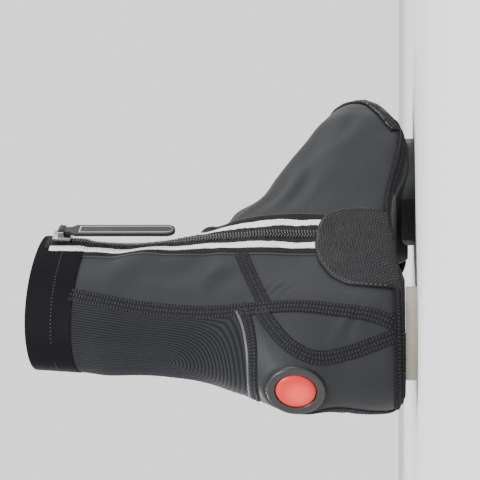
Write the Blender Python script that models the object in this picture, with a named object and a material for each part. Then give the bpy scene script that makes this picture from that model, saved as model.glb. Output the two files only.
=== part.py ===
"""Cycling overshoe for the right foot, worn over the sole of a road shoe.

Metres, +Z up, +X to the toe, +Y to the inner side of the foot.
The form is a stack of closed loops, from the edge of the opening under the sole,
up over toe and instep, to the collar. Every fabric piece is cut from that form.
"""
import math

import bmesh
import bpy
import numpy as np
from mathutils import Vector
from mathutils.bvhtree import BVHTree

# Overall form, measured over the fabric
LENGTH = 0.306
COLLAR_HEIGHT = 0.235
HEEL_HALF = 0.040
WAIST_OUTER = 0.043
WAIST_INNER = 0.038
BALL_OUTER = 0.053
BALL_INNER = 0.052
TOE_OUTER = 0.043
TOE_INNER = 0.051
TOE_SWING = 0.008

# Walls and the gap between neighbours
WALL = 0.0020
CUFF_WALL = 0.0016
BINDING_WALL = 0.0022
SKIN = 0.0009
GAP = 0.0003

# Where along its length a loop has its heel, waist, ball and toe widths
HEEL_AT = 0.14
WAIST_AT = 0.42
BALL_AT = 0.72
TOE_AT = 0.90
BUMP_REACH = 0.30
HEEL_POWER = 2.1
TOE_POWER = 2.1

# One row for each loop, from the sole opening up to the collar.
# Lengths are shares of LENGTH, heights of COLLAR_HEIGHT, widths of the half widths above,
# and the two rounds are shares of the loop's own length.
COLUMNS = ("back_x", "back_z", "front_x", "front_z", "heel", "waist", "arch", "ball", "ball_in", "toe",
           "heel_round", "toe_round", "waist_lift", "ball_drop")
LOOPS = (
    (0.042, 0.034, 0.866, 0.063, 0.76, 0.84, 0.58, 0.82, 0.78, 0.80, 0.14, 0.21, 0.022, 0.028),
    (0.013, 0.055, 0.931, 0.092, 0.97, 0.95, 0.87, 0.96, 0.95, 0.98, 0.15, 0.22, 0.014, 0.032),
    (0.003, 0.109, 0.980, 0.122, 1.01, 0.99, 0.97, 1.00, 1.00, 1.02, 0.15, 0.22, 0.010, 0.026),
    (0.000, 0.176, 1.000, 0.160, 0.99, 1.01, 1.00, 1.03, 0.99, 1.05, 0.15, 0.22, 0.006, 0.022),
    (0.000, 0.244, 0.989, 0.212, 0.96, 1.02, 1.02, 1.03, 0.94, 1.04, 0.15, 0.23, 0.004, 0.016),
    (0.003, 0.311, 0.948, 0.260, 0.93, 1.00, 1.02, 0.95, 0.82, 0.90, 0.16, 0.25, 0.000, 0.006),
    (0.016, 0.378, 0.866, 0.298, 0.90, 0.98, 0.98, 0.87, 0.71, 0.74, 0.18, 0.30, 0.000, 0.000),
    (0.039, 0.445, 0.754, 0.344, 0.88, 0.94, 0.94, 0.77, 0.64, 0.66, 0.22, 0.37, 0.000, 0.000),
    (0.059, 0.513, 0.638, 0.414, 0.86, 0.89, 0.91, 0.69, 0.62, 0.66, 0.30, 0.46, 0.000, 0.000),
    (0.072, 0.580, 0.538, 0.500, 0.86, 0.84, 0.91, 0.66, 0.64, 0.72, 0.42, 0.54, 0.000, 0.000),
    (0.082, 0.651, 0.456, 0.585, 0.86, 0.80, 0.91, 0.65, 0.66, 0.74, 0.50, 0.50, 0.000, 0.000),
    (0.088, 0.723, 0.420, 0.683, 0.85, 0.80, 0.90, 0.65, 0.66, 0.74, 0.50, 0.50, 0.000, 0.000),
    (0.092, 0.807, 0.412, 0.798, 0.85, 0.79, 0.90, 0.65, 0.66, 0.74, 0.50, 0.50, 0.000, 0.000),
    (0.098, 0.878, 0.422, 0.878, 0.86, 0.80, 0.91, 0.66, 0.67, 0.75, 0.50, 0.50, 0.000, 0.000),
    (0.106, 0.992, 0.440, 1.000, 0.88, 0.82, 0.93, 0.67, 0.68, 0.76, 0.50, 0.50, 0.000, 0.000),
)
AROUND = 64
HALF = AROUND // 2
OUTLINE_STEPS = 240
FAR = 0.5
CUT_EXTRA = 0.001

# Where each fabric piece starts and ends, counted in loops
BINDING_LEVELS = (0.0, 0.45, 0.97)
BINDING_PROUD = 0.0002
UPPER_LEVELS = (1.01, 1.5, 2.1, 2.7, 3.3, 3.9, 4.5, 5.1, 5.7, 6.3, 7.0, 7.7, 8.5, 9.4, 10.4, 11.7, 12.985)
CUFF_LEVELS = (13.0, 14.0)

# Zip, a little forward of the middle of the outer side; shares of LENGTH and COLLAR_HEIGHT
ZIP_PATH = ((0.313, 0.228), (0.336, 0.500), (0.334, 0.760), (0.326, 0.984))
ZIP_SLOT = 0.0090
ZIP_TAPE = 0.0012
ZIP_RECESS = 0.0005
ZIP_TAPE_FROM = 0.006
ZIP_COIL_SPAN = (0.05, 0.97)
ZIP_COIL_WIDTH = 0.0046
ZIP_COIL_RISE = 0.0016
ZIP_STEPS = 26
CUFF_HEADROOM = 0.012

# Patch over the lower end of the zip: its rear and front edges, low to high
PATCH_REAR = ((0.146, 0.080), (0.248, 0.230))
PATCH_FRONT = ((0.378, 0.108), (0.352, 0.238))
PATCH_CROWN = 0.014

# Toe cap: its rear edge seen from the side, and the rand that runs back from it
CAP_LOW = (0.824, 0.138)
CAP_TOP = (0.932, 0.262)
RAND_INNER = (0.655, 0.075)
RAND_OUTER = (0.740, 0.090)
CAP_BASE_LEVEL = 1.06
CAP_SCAN_TO = 7.0
CAP_LEAST = 0.25
CAP_STEPS = 10
CAP_GAP = 0.0006

# Sole unit of the shoe inside
BODY_INSET = 0.0035
SOLE_CHAMFER = 0.0012
RIM_REACH = 0.0014
RIM_CLEAR = 0.0056
RIM_THICKNESS = 0.0035
ARCH_CUT = 0.0080
# Height of the sole's underside in metres, at shares of LENGTH
SOLE_PROFILE = ((0.03, 0.0070), (0.22, 0.0070), (0.31, 0.0140), (0.40, 0.0170), (0.46, 0.0150),
                (0.53, 0.0085), (0.58, 0.0042), (0.76, 0.0042), (0.82, 0.0080), (0.88, 0.0140))
# Forefoot plate: share of LENGTH, then shares of BALL_OUTER and BALL_INNER
PLATE_OUTLINE = ((0.525, 0.50, 0.12), (0.540, 0.63, 0.22), (0.560, 0.68, 0.34), (0.605, 0.69, 0.42),
                 (0.665, 0.66, 0.56), (0.725, 0.62, 0.60), (0.775, 0.53, 0.55), (0.808, 0.40, 0.42),
                 (0.826, 0.22, 0.18))
PLATE_SINK = 0.0015
PLATE_SPRING_FROM = 0.765
PLATE_SPRING = 0.0045
INSOLE = 0.0030
INSOLE_REACH = 0.0006

# Fixings in the forefoot plate
BOLT_PAIR = 0.038
BOLT_LEAD = 0.025
BOLTS_AT = 0.663
HOLE_RADIUS = 0.0043
HOLE_DEPTH = 0.0035
INSERT_BORE = 0.0026
INSERT_SET_BACK = 0.0008
SLOT_SPACING = 0.014
SLOT_LENGTH = 0.027
SLOT_WIDTH = 0.0070
SLOT_DEPTH = 0.0013

# Heel tread: a C open to the toe, as shares of its length and half width
TREAD_BACK = 0.0190
TREAD_LENGTH = 0.0500
TREAD_HALF = 0.0250
TREAD_OUTLINE = ((0.00, -0.08), (0.04, -0.46), (0.17, -0.76), (0.40, -0.96), (0.68, -1.06),
                 (0.88, -1.05), (1.00, -0.86), (0.98, -0.60), (0.80, -0.47), (0.60, -0.45),
                 (0.43, -0.37), (0.33, -0.16), (0.32, 0.12), (0.42, 0.35), (0.60, 0.39),
                 (0.78, 0.35), (0.94, 0.45), (1.00, 0.68), (0.92, 0.86), (0.68, 0.89),
                 (0.42, 0.85), (0.18, 0.64), (0.04, 0.32))
TREAD_SMOOTH = 3
BUTTON_AT = (0.50, 0.00)
BUTTON_RADIUS = 0.0062
NECK_AT = (0.35, 0.14)
NECK_RADIUS = 0.0030
SCREW_AT = (0.17, -0.02)
SCREW_RADIUS = 0.0026

# Strap under the arch
STRAP_REAR = (0.366, 0.356)
STRAP_FRONT = (0.467, 0.480)
STRAP_THICKNESS = 0.0014
STRAP_LIFT = 0.0005
STRAP_SAG = 0.0004
STRAP_CHORD_ROWS = 5
STRAP_COLUMNS = 4
STRAP_OUTER_LEVELS = (0.40, 0.20, 0.02)
STRAP_INNER_LEVELS = (0.02, 0.35, 0.70)

# Lamp on the heel; the bezel's rings are given as radius and share of its rise
LAMP_HEIGHT = 0.294
LENS_RADIUS = 0.0112
LENS_SHARES = (1.0, 0.76, 0.45, 0.18)
LENS_CROWN = 0.0022
LENS_SEAT = 0.9
BEZEL_BORE = 0.0115
BEZEL_RADIUS = 0.0172
BEZEL_RISE = 0.0030
BEZEL_RINGS = ((0.0, 0.7), (0.18, 1.0), (0.61, 0.85), (0.86, 0.5), (1.0, 0.22))
LAMP_FLATNESS = 0.5
LAMP_SEAT = 0.0005
LAMP_SIDES = 26

# Slider and pull tab
SLIDER_HEIGHT = 0.940
SLIDER_SIZE = (0.0095, 0.0034, 0.0115)
ROD_RADIUS = 0.0009
ROD_RISE = 0.0026
POST_WIDTH = 0.0013
POST_HEIGHT = 0.0040
POST_TOP = 0.0010
EYE_BORE = 0.0013
EYE_RADIUS = 0.0025
TAB_WIDTH = 0.0100
TAB_NECK = 0.0056
TAB_LENGTH = 0.0720
TAB_THICKNESS = 0.0022
TAB_SHOULDER = (0.0012, 0.0060, 0.0090)
TAB_END = ((0.45, 1.00), (0.22, 0.86), (0.06, 0.56), (0.00, 0.22))


def clear_scene():
    for thing in list(bpy.data.objects):
        bpy.data.objects.remove(thing, do_unlink=True)


def material(name, colour, roughness, metallic=0.0):
    made = bpy.data.materials.new(name)
    made.use_nodes = True
    shader = made.node_tree.nodes["Principled BSDF"]
    shader.inputs["Base Color"].default_value = (*colour, 1.0)
    shader.inputs["Roughness"].default_value = roughness
    shader.inputs["Metallic"].default_value = metallic
    return made


def mesh_object(name, points, faces, look=None):
    """One object from points and faces, with its faces turned outwards."""
    mesh = bpy.data.meshes.new(name)
    mesh.from_pydata([tuple(point) for point in points], [], faces)
    shape = bmesh.new()
    shape.from_mesh(mesh)
    bmesh.ops.remove_doubles(shape, verts=shape.verts, dist=1e-7)
    bmesh.ops.recalc_face_normals(shape, faces=shape.faces)
    shape.to_mesh(mesh)
    shape.free()
    mesh.shade_smooth()
    mesh.set_sharp_from_angle(angle=math.radians(40))
    made = bpy.data.objects.new(name, mesh)
    bpy.context.collection.objects.link(made)
    if look:
        mesh.materials.append(look)
    return made


def cut(target, cutter, operation="DIFFERENCE"):
    """Boolean modifier that stays on the target; the cutter becomes a guide."""
    step = target.modifiers.new(operation.lower(), "BOOLEAN")
    step.operation = operation
    step.object = cutter
    cutter.hide_render = True
    cutter.display_type = "WIRE"


def bump(share, centre):
    """One at the centre, smoothly zero at BUMP_REACH from it."""
    distance = np.clip(abs(share - centre) / BUMP_REACH, 0.0, 1.0)
    return np.cos(distance * math.pi / 2) ** 2


def end_rounding(share, heel_round, toe_round):
    """Half width of a rounded end, from 0 at the tip to 1 where the side begins."""
    rear = np.clip(1.0 - share / heel_round, 0.0, 1.0)
    front = np.clip(1.0 - (1.0 - share) / toe_round, 0.0, 1.0)
    rear_half = (1.0 - rear ** HEEL_POWER) ** (1.0 / HEEL_POWER)
    front_half = (1.0 - front ** TOE_POWER) ** (1.0 / TOE_POWER)
    return rear_half * front_half


def smooth_through(values, at, places):
    """Monotone smooth curve through a few values."""
    values = np.asarray(values, float)
    at = np.asarray(at, float)
    step = np.diff(values) / np.diff(at)
    slope = np.zeros(len(values))
    for i in range(1, len(values) - 1):
        if step[i - 1] * step[i] > 0:
            slope[i] = 2 * step[i - 1] * step[i] / (step[i - 1] + step[i])
    cell = np.clip(np.searchsorted(at, places) - 1, 0, len(at) - 2)
    width = at[cell + 1] - at[cell]
    t = np.clip((places - at[cell]) / width, 0.0, 1.0)
    rise = t * t * (3 - 2 * t)
    return (values[cell] * (1 - rise) + values[cell + 1] * rise
            + width * t * (1 - t) * (slope[cell] * (1 - t) - slope[cell + 1] * t))


def even_points(line, count):
    """The line again, as count + 1 points at even distances."""
    lengths = np.linalg.norm(np.diff(line, axis=0), axis=1)
    run = np.concatenate([[0.0], np.cumsum(lengths)])
    stops = np.linspace(0.0, run[-1], count + 1)
    return np.stack([np.interp(stops, run, line[:, axis]) for axis in range(3)], axis=1)


def loop_points(row):
    """One closed loop, from the back along the outer side to the front and back again."""
    size = dict(zip(COLUMNS, row))
    turn = np.linspace(0.0, math.pi, OUTLINE_STEPS + 1)
    share = (1.0 - np.cos(turn)) / 2
    along = size["back_x"] + (size["front_x"] - size["back_x"]) * share
    height = size["back_z"] + (size["front_z"] - size["back_z"]) * share
    height = height + size["waist_lift"] * bump(share, WAIST_AT) - size["ball_drop"] * bump(share, BALL_AT)
    reach = (size["front_x"] - size["back_x"]) ** 2
    centre = TOE_SWING * reach * share ** 3
    rounding = end_rounding(share, size["heel_round"], size["toe_round"])
    places = (HEEL_AT, WAIST_AT, BALL_AT, TOE_AT)
    halves = []
    for side, widths in ((-1, (HEEL_HALF, WAIST_OUTER, BALL_OUTER, TOE_OUTER)),
                         (1, (HEEL_HALF, WAIST_INNER, BALL_INNER, TOE_INNER))):
        waist, ball = ("waist", "ball") if side < 0 else ("arch", "ball_in")
        shares = (size["heel"], size[waist], size[ball], size["toe"])
        width = smooth_through([a * b for a, b in zip(widths, shares)], places, share)
        across = centre + side * (width - side * centre) * rounding
        line = np.stack([along * LENGTH, across, height * COLLAR_HEIGHT], axis=1)
        halves.append(even_points(line, HALF))
    outer, inner = halves
    return np.concatenate([outer[:-1], inner[:0:-1]])


LOOP_GRID = np.array([loop_points(row) for row in LOOPS])


def form_loop(level):
    """The form's loop at any level, by a smooth curve through the rows."""
    level = min(max(level, 0.0), len(LOOPS) - 1.0)
    low = min(int(level), len(LOOPS) - 2)
    t = level - low
    before = LOOP_GRID[max(low - 1, 0)]
    start = LOOP_GRID[low]
    end = LOOP_GRID[low + 1]
    after = LOOP_GRID[min(low + 2, len(LOOPS) - 1)]
    return 0.5 * (2 * start + (end - before) * t + (2 * before - 5 * start + 4 * end - after) * t ** 2
                  + (3 * start - before - 3 * end + after) * t ** 3)


def form_normals(level):
    """Outward direction at each point of the loop at this level."""
    nudge = 0.02
    rise = form_loop(level + nudge) - form_loop(level - nudge)
    loop = form_loop(level)
    run = np.roll(loop, -1, axis=0) - np.roll(loop, 1, axis=0)
    out = np.cross(rise, run)
    out /= np.linalg.norm(out, axis=1)[:, None]
    outside = loop[:, :2] - loop[:, :2].mean(axis=0)
    if (out[:, :2] * outside).sum() < 0:
        out = -out
    return out


def offset_loop(level, distance):
    return form_loop(level) + form_normals(level) * distance


def band(name, levels, outer, inner, look):
    """A ring of fabric between two offsets of the form."""
    loops = [offset_loop(level, outer) for level in levels]
    loops += [offset_loop(level, inner) for level in reversed(levels)]
    points = np.concatenate(loops)
    faces = []
    for i in range(len(loops)):
        j = (i + 1) % len(loops)
        for k in range(AROUND):
            m = (k + 1) % AROUND
            faces.append((i * AROUND + k, i * AROUND + m, j * AROUND + m, j * AROUND + k))
    return mesh_object(name, points, faces, look)


def slab(name, top, bottom, look):
    """A closed sheet from two grids of points, rows by columns, with walls round its edge."""
    rows, columns = top.shape[:2]
    points = np.concatenate([top.reshape(-1, 3), bottom.reshape(-1, 3)])
    under = rows * columns
    faces = []
    for i in range(rows - 1):
        for j in range(columns - 1):
            a = i * columns + j
            quad = (a, a + 1, a + columns + 1, a + columns)
            faces.append(quad)
            faces.append(tuple(under + corner for corner in reversed(quad)))
    edge = [j for j in range(columns - 1)]
    edge += [i * columns + columns - 1 for i in range(rows - 1)]
    edge += [(rows - 1) * columns + j for j in range(columns - 1, 0, -1)]
    edge += [i * columns for i in range(rows - 1, 0, -1)]
    for a, b in zip(edge, edge[1:] + edge[:1]):
        faces.append((b, a, under + a, under + b))
    return mesh_object(name, points, faces, look)


def prism(name, outline, low, high, look=None):
    """An upright prism over a flat outline of x, y points."""
    count = len(outline)
    points = [(x, y, low) for x, y in outline] + [(x, y, high) for x, y in outline]
    faces = [tuple(range(count)), tuple(range(count, 2 * count))]
    for i in range(count):
        j = (i + 1) % count
        faces.append((i, j, count + j, count + i))
    return mesh_object(name, points, faces, look)


def circle(centre, radius, sides=24):
    return [(centre[0] + radius * math.cos(2 * math.pi * i / sides),
             centre[1] + radius * math.sin(2 * math.pi * i / sides)) for i in range(sides)]


def stadium(centre, length, width, sides=9):
    """Outline of a slot that runs along X."""
    straight = (length - width) / 2
    points = []
    for end in (1, -1):
        for i in range(sides):
            angle = math.pi * (i / (sides - 1) - 0.5)
            points.append((centre[0] + end * (straight + width / 2 * math.cos(angle)),
                           centre[1] + end * width / 2 * math.sin(angle)))
    return points


def smooth_outline(points, steps):
    """A closed smooth curve through hand-set points."""
    count = len(points)
    result = []
    for i in range(count):
        before, start, end, after = (np.array(points[(i + k) % count]) for k in (-1, 0, 1, 2))
        for k in range(steps):
            t = k / steps
            result.append(0.5 * (2 * start + (end - before) * t
                                 + (2 * before - 5 * start + 4 * end - after) * t ** 2
                                 + (3 * start - before - 3 * end + after) * t ** 3))
    return [tuple(point) for point in result]


def form_surface():
    """The whole outer form as a surface that rays can be shot at."""
    levels = np.linspace(0.0, len(LOOPS) - 1.0, 113)
    points = np.concatenate([form_loop(level) for level in levels])
    faces = []
    for i in range(len(levels) - 1):
        for k in range(AROUND):
            m = (k + 1) % AROUND
            faces.append((i * AROUND + k, i * AROUND + m, (i + 1) * AROUND + m, (i + 1) * AROUND + k))
    return BVHTree.FromPolygons([tuple(point) for point in points], faces)


SURFACE = form_surface()


def outer_side(x, z):
    """Y of the form's outer side at this place."""
    hit = SURFACE.ray_cast(Vector((x, -FAR, z)), Vector((0, 1, 0)))[0]
    return hit.y


def heel_back(y, z):
    """X of the form's back at this place."""
    hit = SURFACE.ray_cast(Vector((-FAR, y, z)), Vector((1, 0, 0)))[0]
    return hit.x


def zip_place(share):
    """X and Z of the zip's middle line, from its lower end to the collar."""
    low, second, third, high = (np.array(point) for point in ZIP_PATH)
    rest = 1.0 - share
    place = (rest ** 3 * low + 3 * rest ** 2 * share * second
             + 3 * rest * share ** 2 * third + share ** 3 * high)
    return place[0] * LENGTH, place[1] * COLLAR_HEIGHT


def zip_strip(name, width, out, depth, low, high, look):
    """A strip along the zip that follows the outer side, from share low to share high."""
    top = np.zeros((ZIP_STEPS + 1, 3, 3))
    bottom = np.zeros((ZIP_STEPS + 1, 3, 3))
    for i, share in enumerate(np.linspace(low, high, ZIP_STEPS + 1)):
        x, z = zip_place(share)
        for j, side in enumerate((-0.5, 0.0, 0.5)):
            y = outer_side(x + side * width, z)
            top[i, j] = (x + side * width, y - out, z)
            bottom[i, j] = (x + side * width, y + depth, z)
    return slab(name, top, bottom, look)


def zip_cutter():
    """The slit in upper and cuff that the zip fills."""
    grid = np.zeros((ZIP_STEPS + 1, 2, 3))
    for i, share in enumerate(np.linspace(0.0, 1.0, ZIP_STEPS + 1)):
        x, z = zip_place(share)
        for j, side in enumerate((-0.5, 0.5)):
            grid[i, j] = (x + side * ZIP_SLOT, 0.0, z)
    grid[-1, :, 2] += CUFF_HEADROOM
    near = grid - np.array([0.0, BALL_OUTER * 1.5, 0.0])
    deep = grid - np.array([0.0, HEEL_HALF * 0.3, 0.0])
    return slab("zip_cutter", near, deep, None)


def upper_pieces():
    """Upper, cuff and binding, each one hollow ring of the form."""
    coated = material("coated_stretch", (0.045, 0.048, 0.052), 0.55)
    stretch = material("smooth_stretch", (0.018, 0.018, 0.020), 0.80)
    elastic = material("elastic_tape", (0.020, 0.020, 0.024), 0.85)
    cutter = zip_cutter()
    upper = band("upper", UPPER_LEVELS, 0.0, -WALL, coated)
    cut(upper, cutter)
    cuff = band("cuff", CUFF_LEVELS, 0.0, -CUFF_WALL, stretch)
    cut(cuff, cutter)
    binding = band("sole_binding", BINDING_LEVELS, BINDING_PROUD, BINDING_PROUD - BINDING_WALL, elastic)
    return [cutter, upper, cuff, binding]


def zip_pieces():
    """Tape in the slit and the coil on it."""
    woven = material("zip_tape_weave", (0.018, 0.018, 0.020), 0.85)
    nylon = material("zip_coil_nylon", (0.022, 0.022, 0.024), 0.40)
    tape = zip_strip("zip_tape", ZIP_SLOT - 2 * GAP, -ZIP_RECESS, ZIP_RECESS + ZIP_TAPE,
                     ZIP_TAPE_FROM, 1.0, woven)
    coil = zip_strip("zip_coil", ZIP_COIL_WIDTH, ZIP_COIL_RISE, ZIP_RECESS - GAP, *ZIP_COIL_SPAN, nylon)
    return [tape, coil]


def patch_piece():
    """Rounded patch over the zip's lower end, cut between two offsets of the form."""
    look = material("scaled_fabric", (0.030, 0.030, 0.034), 0.75)
    rows, columns = 9, 9
    top = np.zeros((rows, columns, 3))
    bottom = np.zeros((rows, columns, 3))
    rear, front = (np.array(edge) for edge in (PATCH_REAR, PATCH_FRONT))
    for i, high in enumerate(np.linspace(0.0, 1.0, rows)):
        start = rear[0] + (rear[1] - rear[0]) * high
        end = front[0] + (front[1] - front[0]) * high
        for j, across in enumerate(np.linspace(0.0, 1.0, columns)):
            place = start + (end - start) * across
            place[1] += PATCH_CROWN * high * math.sin(math.pi * across)
            x, z = place[0] * LENGTH, place[1] * COLLAR_HEIGHT
            hit, normal = SURFACE.ray_cast(Vector((x, -FAR, z)), Vector((0, 1, 0)))[:2]
            if normal.y > 0:
                normal = -normal
            bottom[i, j] = hit + normal * GAP
            top[i, j] = hit + normal * (GAP + SKIN)
    return [slab("zip_patch", top, bottom, look)]


def in_cap(point, inner_side):
    """Whether a point of the form lies on the toe cap or its rand."""
    x, z = point[0] / LENGTH, point[2] / COLLAR_HEIGHT
    slope = (CAP_TOP[0] - CAP_LOW[0]) / (CAP_TOP[1] - CAP_LOW[1])
    if x > CAP_LOW[0] + (z - CAP_LOW[1]) * slope:
        return True
    tail = RAND_INNER if inner_side else RAND_OUTER
    if x < tail[0]:
        return False
    return z < tail[1] + (CAP_LOW[1] - tail[1]) * (x - tail[0]) / (CAP_LOW[0] - tail[0])


def cap_piece():
    """Toe cap with its rand, cut between two offsets of the form."""
    look = material("tough_weave", (0.075, 0.070, 0.080), 0.80)
    scan = np.linspace(CAP_BASE_LEVEL, CAP_SCAN_TO, 220)
    loops = [form_loop(level) for level in scan]
    limits = {}
    for k in range(AROUND):
        inner_side = k > HALF
        last = None
        for level, loop in zip(scan, loops):
            if not in_cap(loop[k], inner_side):
                break
            last = level
        if last and last - CAP_BASE_LEVEL > CAP_LEAST:
            limits[k] = last
    columns = sorted(limits)
    top = np.zeros((CAP_STEPS + 1, len(columns), 3))
    bottom = np.zeros((CAP_STEPS + 1, len(columns), 3))
    for j, k in enumerate(columns):
        for i in range(CAP_STEPS + 1):
            level = CAP_BASE_LEVEL + (limits[k] - CAP_BASE_LEVEL) * i / CAP_STEPS
            bottom[i, j] = offset_loop(level, CAP_GAP)[k]
            top[i, j] = offset_loop(level, CAP_GAP + SKIN)[k]
    return [slab("toe_cap", top, bottom, look)]


def sole_outline(inset, arch_cut=0.0):
    """Plan outline of the sole opening, moved inwards, with the inner arch cut in deeper."""
    loop = LOOP_GRID[0][:, :2]
    run = np.roll(loop, -1, axis=0) - np.roll(loop, 1, axis=0)
    inward = np.stack([run[:, 1], -run[:, 0]], axis=1)
    inward /= np.linalg.norm(inward, axis=1)[:, None]
    if ((loop.mean(axis=0) - loop) * inward).sum() < 0:
        inward = -inward
    share = (loop[:, 0] - loop[:, 0].min()) / np.ptp(loop[:, 0])
    deeper = np.where(np.arange(AROUND) > HALF, arch_cut * bump(share, WAIST_AT), 0.0)
    return loop + inward * (inset + deeper)[:, None]


def opening_height(x):
    """Height of the opening's edge at this length."""
    side = LOOP_GRID[0][:HALF + 1]
    return np.interp(x, side[:, 0], side[:, 2])


def sole_bottom(x):
    """Underside of the sole plate, without the raised forefoot plate."""
    places, heights = zip(*SOLE_PROFILE)
    return smooth_through(heights, places, np.clip(x / LENGTH, places[0], places[-1]))


def ladder_solid(name, loops, look):
    """A closed solid from loops stacked bottom to top; both ends are filled side to side."""
    points = np.concatenate(loops)
    faces = []
    for i in range(len(loops) - 1):
        for k in range(AROUND):
            m = (k + 1) % AROUND
            low, high = i * AROUND, (i + 1) * AROUND
            faces.append((low + k, low + m, high + m, high + k))
    for base in (0, (len(loops) - 1) * AROUND):
        for k in range(HALF):
            a, b = k, k + 1
            c, d = (AROUND - b) % AROUND, (AROUND - a) % AROUND
            corners = [a, b] + [c] * (c != b) + [d] * (d != a)
            faces.append(tuple(base + corner for corner in corners))
    return mesh_object(name, points, faces, look)


def at_height(outline, height):
    return np.column_stack([outline, height])


def forefoot_plate():
    """Raised plate under the ball, flat where it stands, lifting towards the toe."""
    places = np.array([row[0] for row in PLATE_OUTLINE])
    stations = np.linspace(places[0], places[-1], 17)
    outer = smooth_through([row[1] for row in PLATE_OUTLINE], places, stations) * -BALL_OUTER
    inner = smooth_through([row[2] for row in PLATE_OUTLINE], places, stations) * BALL_INNER
    lift = np.clip((stations - PLATE_SPRING_FROM) / (places[-1] - PLATE_SPRING_FROM), 0.0, 1.0)
    low = PLATE_SPRING * lift ** 2
    x = stations * LENGTH
    high = sole_bottom(x) + PLATE_SINK
    bottom = np.zeros((len(x), 2, 3))
    top = np.zeros((len(x), 2, 3))
    for j, edge in enumerate((outer, inner)):
        bottom[:, j] = np.column_stack([x, edge, low])
        top[:, j] = np.column_stack([x, edge, high])
    return slab("forefoot_plate_form", top, bottom, None)


def bolt_places():
    x = BOLTS_AT * LENGTH
    return [(x - BOLT_LEAD / 2, -BOLT_PAIR / 2), (x - BOLT_LEAD / 2, BOLT_PAIR / 2), (x + BOLT_LEAD / 2, 0.0)]


def sole_pieces():
    """Sole plate with its raised forefoot plate, holes and slots, inserts and insole."""
    moulded = material("moulded_sole", (0.055, 0.057, 0.062), 0.45)
    metal = material("dark_insert", (0.25, 0.25, 0.26), 0.35, 1.0)
    foam = material("insole_foam", (0.030, 0.030, 0.032), 0.90)
    body = sole_outline(BODY_INSET, ARCH_CUT)
    foot = sole_outline(BODY_INSET + SOLE_CHAMFER, ARCH_CUT)
    rim = sole_outline(-RIM_REACH, ARCH_CUT)
    rim_low = opening_height(body[:, 0]) + RIM_CLEAR
    highest = rim_low - 2 * SOLE_CHAMFER
    loops = [at_height(foot, np.minimum(sole_bottom(foot[:, 0]), highest)),
             at_height(body, np.minimum(sole_bottom(body[:, 0]), highest) + SOLE_CHAMFER),
             at_height(body, rim_low),
             at_height(rim, rim_low),
             at_height(rim, rim_low + RIM_THICKNESS)]
    sole = ladder_solid("sole_plate", loops, moulded)
    helpers = [forefoot_plate()]
    cut(sole, helpers[0], "UNION")
    made = []
    for i, place in enumerate(bolt_places()):
        hole = prism(f"hole_{i}", circle(place, HOLE_RADIUS), -CUT_EXTRA, HOLE_DEPTH)
        cut(sole, hole)
        helpers.append(hole)
        insert = prism(f"bolt_insert_{i + 1}", circle(place, HOLE_RADIUS - GAP), INSERT_SET_BACK,
                       HOLE_DEPTH - GAP, metal)
        bore = prism(f"bore_{i}", circle(place, INSERT_BORE), -CUT_EXTRA, HOLE_DEPTH + CUT_EXTRA)
        cut(insert, bore)
        helpers.append(bore)
        made.append(insert)
    for side in (-1, 1):
        place = (BOLTS_AT * LENGTH - BOLT_LEAD * 0.3, side * SLOT_SPACING / 2)
        slot = prism(f"slot_{side}", stadium(place, SLOT_LENGTH, SLOT_WIDTH), -CUT_EXTRA, SLOT_DEPTH)
        cut(sole, slot)
        helpers.append(slot)
    bed = sole_outline(-INSOLE_REACH)
    bed_low = opening_height(bed[:, 0]) + RIM_CLEAR + RIM_THICKNESS + 2 * GAP
    insole = ladder_solid("insole", [at_height(bed, bed_low), at_height(bed, bed_low + INSOLE)], foam)
    return helpers + [sole, insole] + made


def on_tread(place):
    return TREAD_BACK + place[0] * TREAD_LENGTH, place[1] * TREAD_HALF


def tread_piece():
    """Pale heel tread: a C open to the toe, with a round pad joined to it."""
    look = material("pale_rubber", (0.80, 0.79, 0.70), 0.60)
    high = SOLE_PROFILE[0][1] - GAP
    outline = smooth_outline([on_tread(place) for place in TREAD_OUTLINE], TREAD_SMOOTH)
    tread = prism("heel_tread", outline, 0.0, high, look)
    button = prism("button", circle(on_tread(BUTTON_AT), BUTTON_RADIUS), 0.0, high)
    neck = prism("neck", circle(on_tread(NECK_AT), NECK_RADIUS, 12), 0.0, high)
    screw = prism("screw", circle(on_tread(SCREW_AT), SCREW_RADIUS), -CUT_EXTRA, high + CUT_EXTRA)
    cut(tread, neck, "UNION")
    cut(tread, button, "UNION")
    cut(tread, screw)
    return [button, neck, screw, tread]


def strap_piece():
    """Elastic strap that crosses under the arch, its ends on the outside of the binding."""
    look = material("ribbed_elastic", (0.028, 0.028, 0.028), 0.85)
    rows = len(STRAP_OUTER_LEVELS) + STRAP_CHORD_ROWS + len(STRAP_INNER_LEVELS)
    top = np.zeros((rows, STRAP_COLUMNS, 3))
    bottom = np.zeros((rows, STRAP_COLUMNS, 3))
    for j, across in enumerate(np.linspace(0.0, 1.0, STRAP_COLUMNS)):
        lines = []
        for lift in (STRAP_LIFT, STRAP_LIFT + STRAP_THICKNESS):
            ends = []
            for side, levels in ((0, STRAP_OUTER_LEVELS), (1, STRAP_INNER_LEVELS)):
                x = (STRAP_REAR[side] + (STRAP_FRONT[side] - STRAP_REAR[side]) * across) * LENGTH
                line = []
                for level in levels:
                    loop = offset_loop(level, lift)
                    half = loop[:HALF + 1] if side == 0 else np.concatenate([loop[HALF:], loop[:1]])[::-1]
                    line.append([np.interp(x, half[:, 0], half[:, axis]) for axis in range(3)])
                ends.append(np.array(line))
            first, last = ends[0][-1], ends[1][0]
            steps = np.arange(1, STRAP_CHORD_ROWS + 1)[:, None] / (STRAP_CHORD_ROWS + 1)
            middle = first + (last - first) * steps - np.array([0.0, 0.0, STRAP_SAG])
            lines.append(np.concatenate([ends[0], middle, ends[1]]))
        bottom[:, j] = lines[0]
        top[:, j] = lines[1]
    return [slab("arch_strap", top, bottom, look)]


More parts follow.
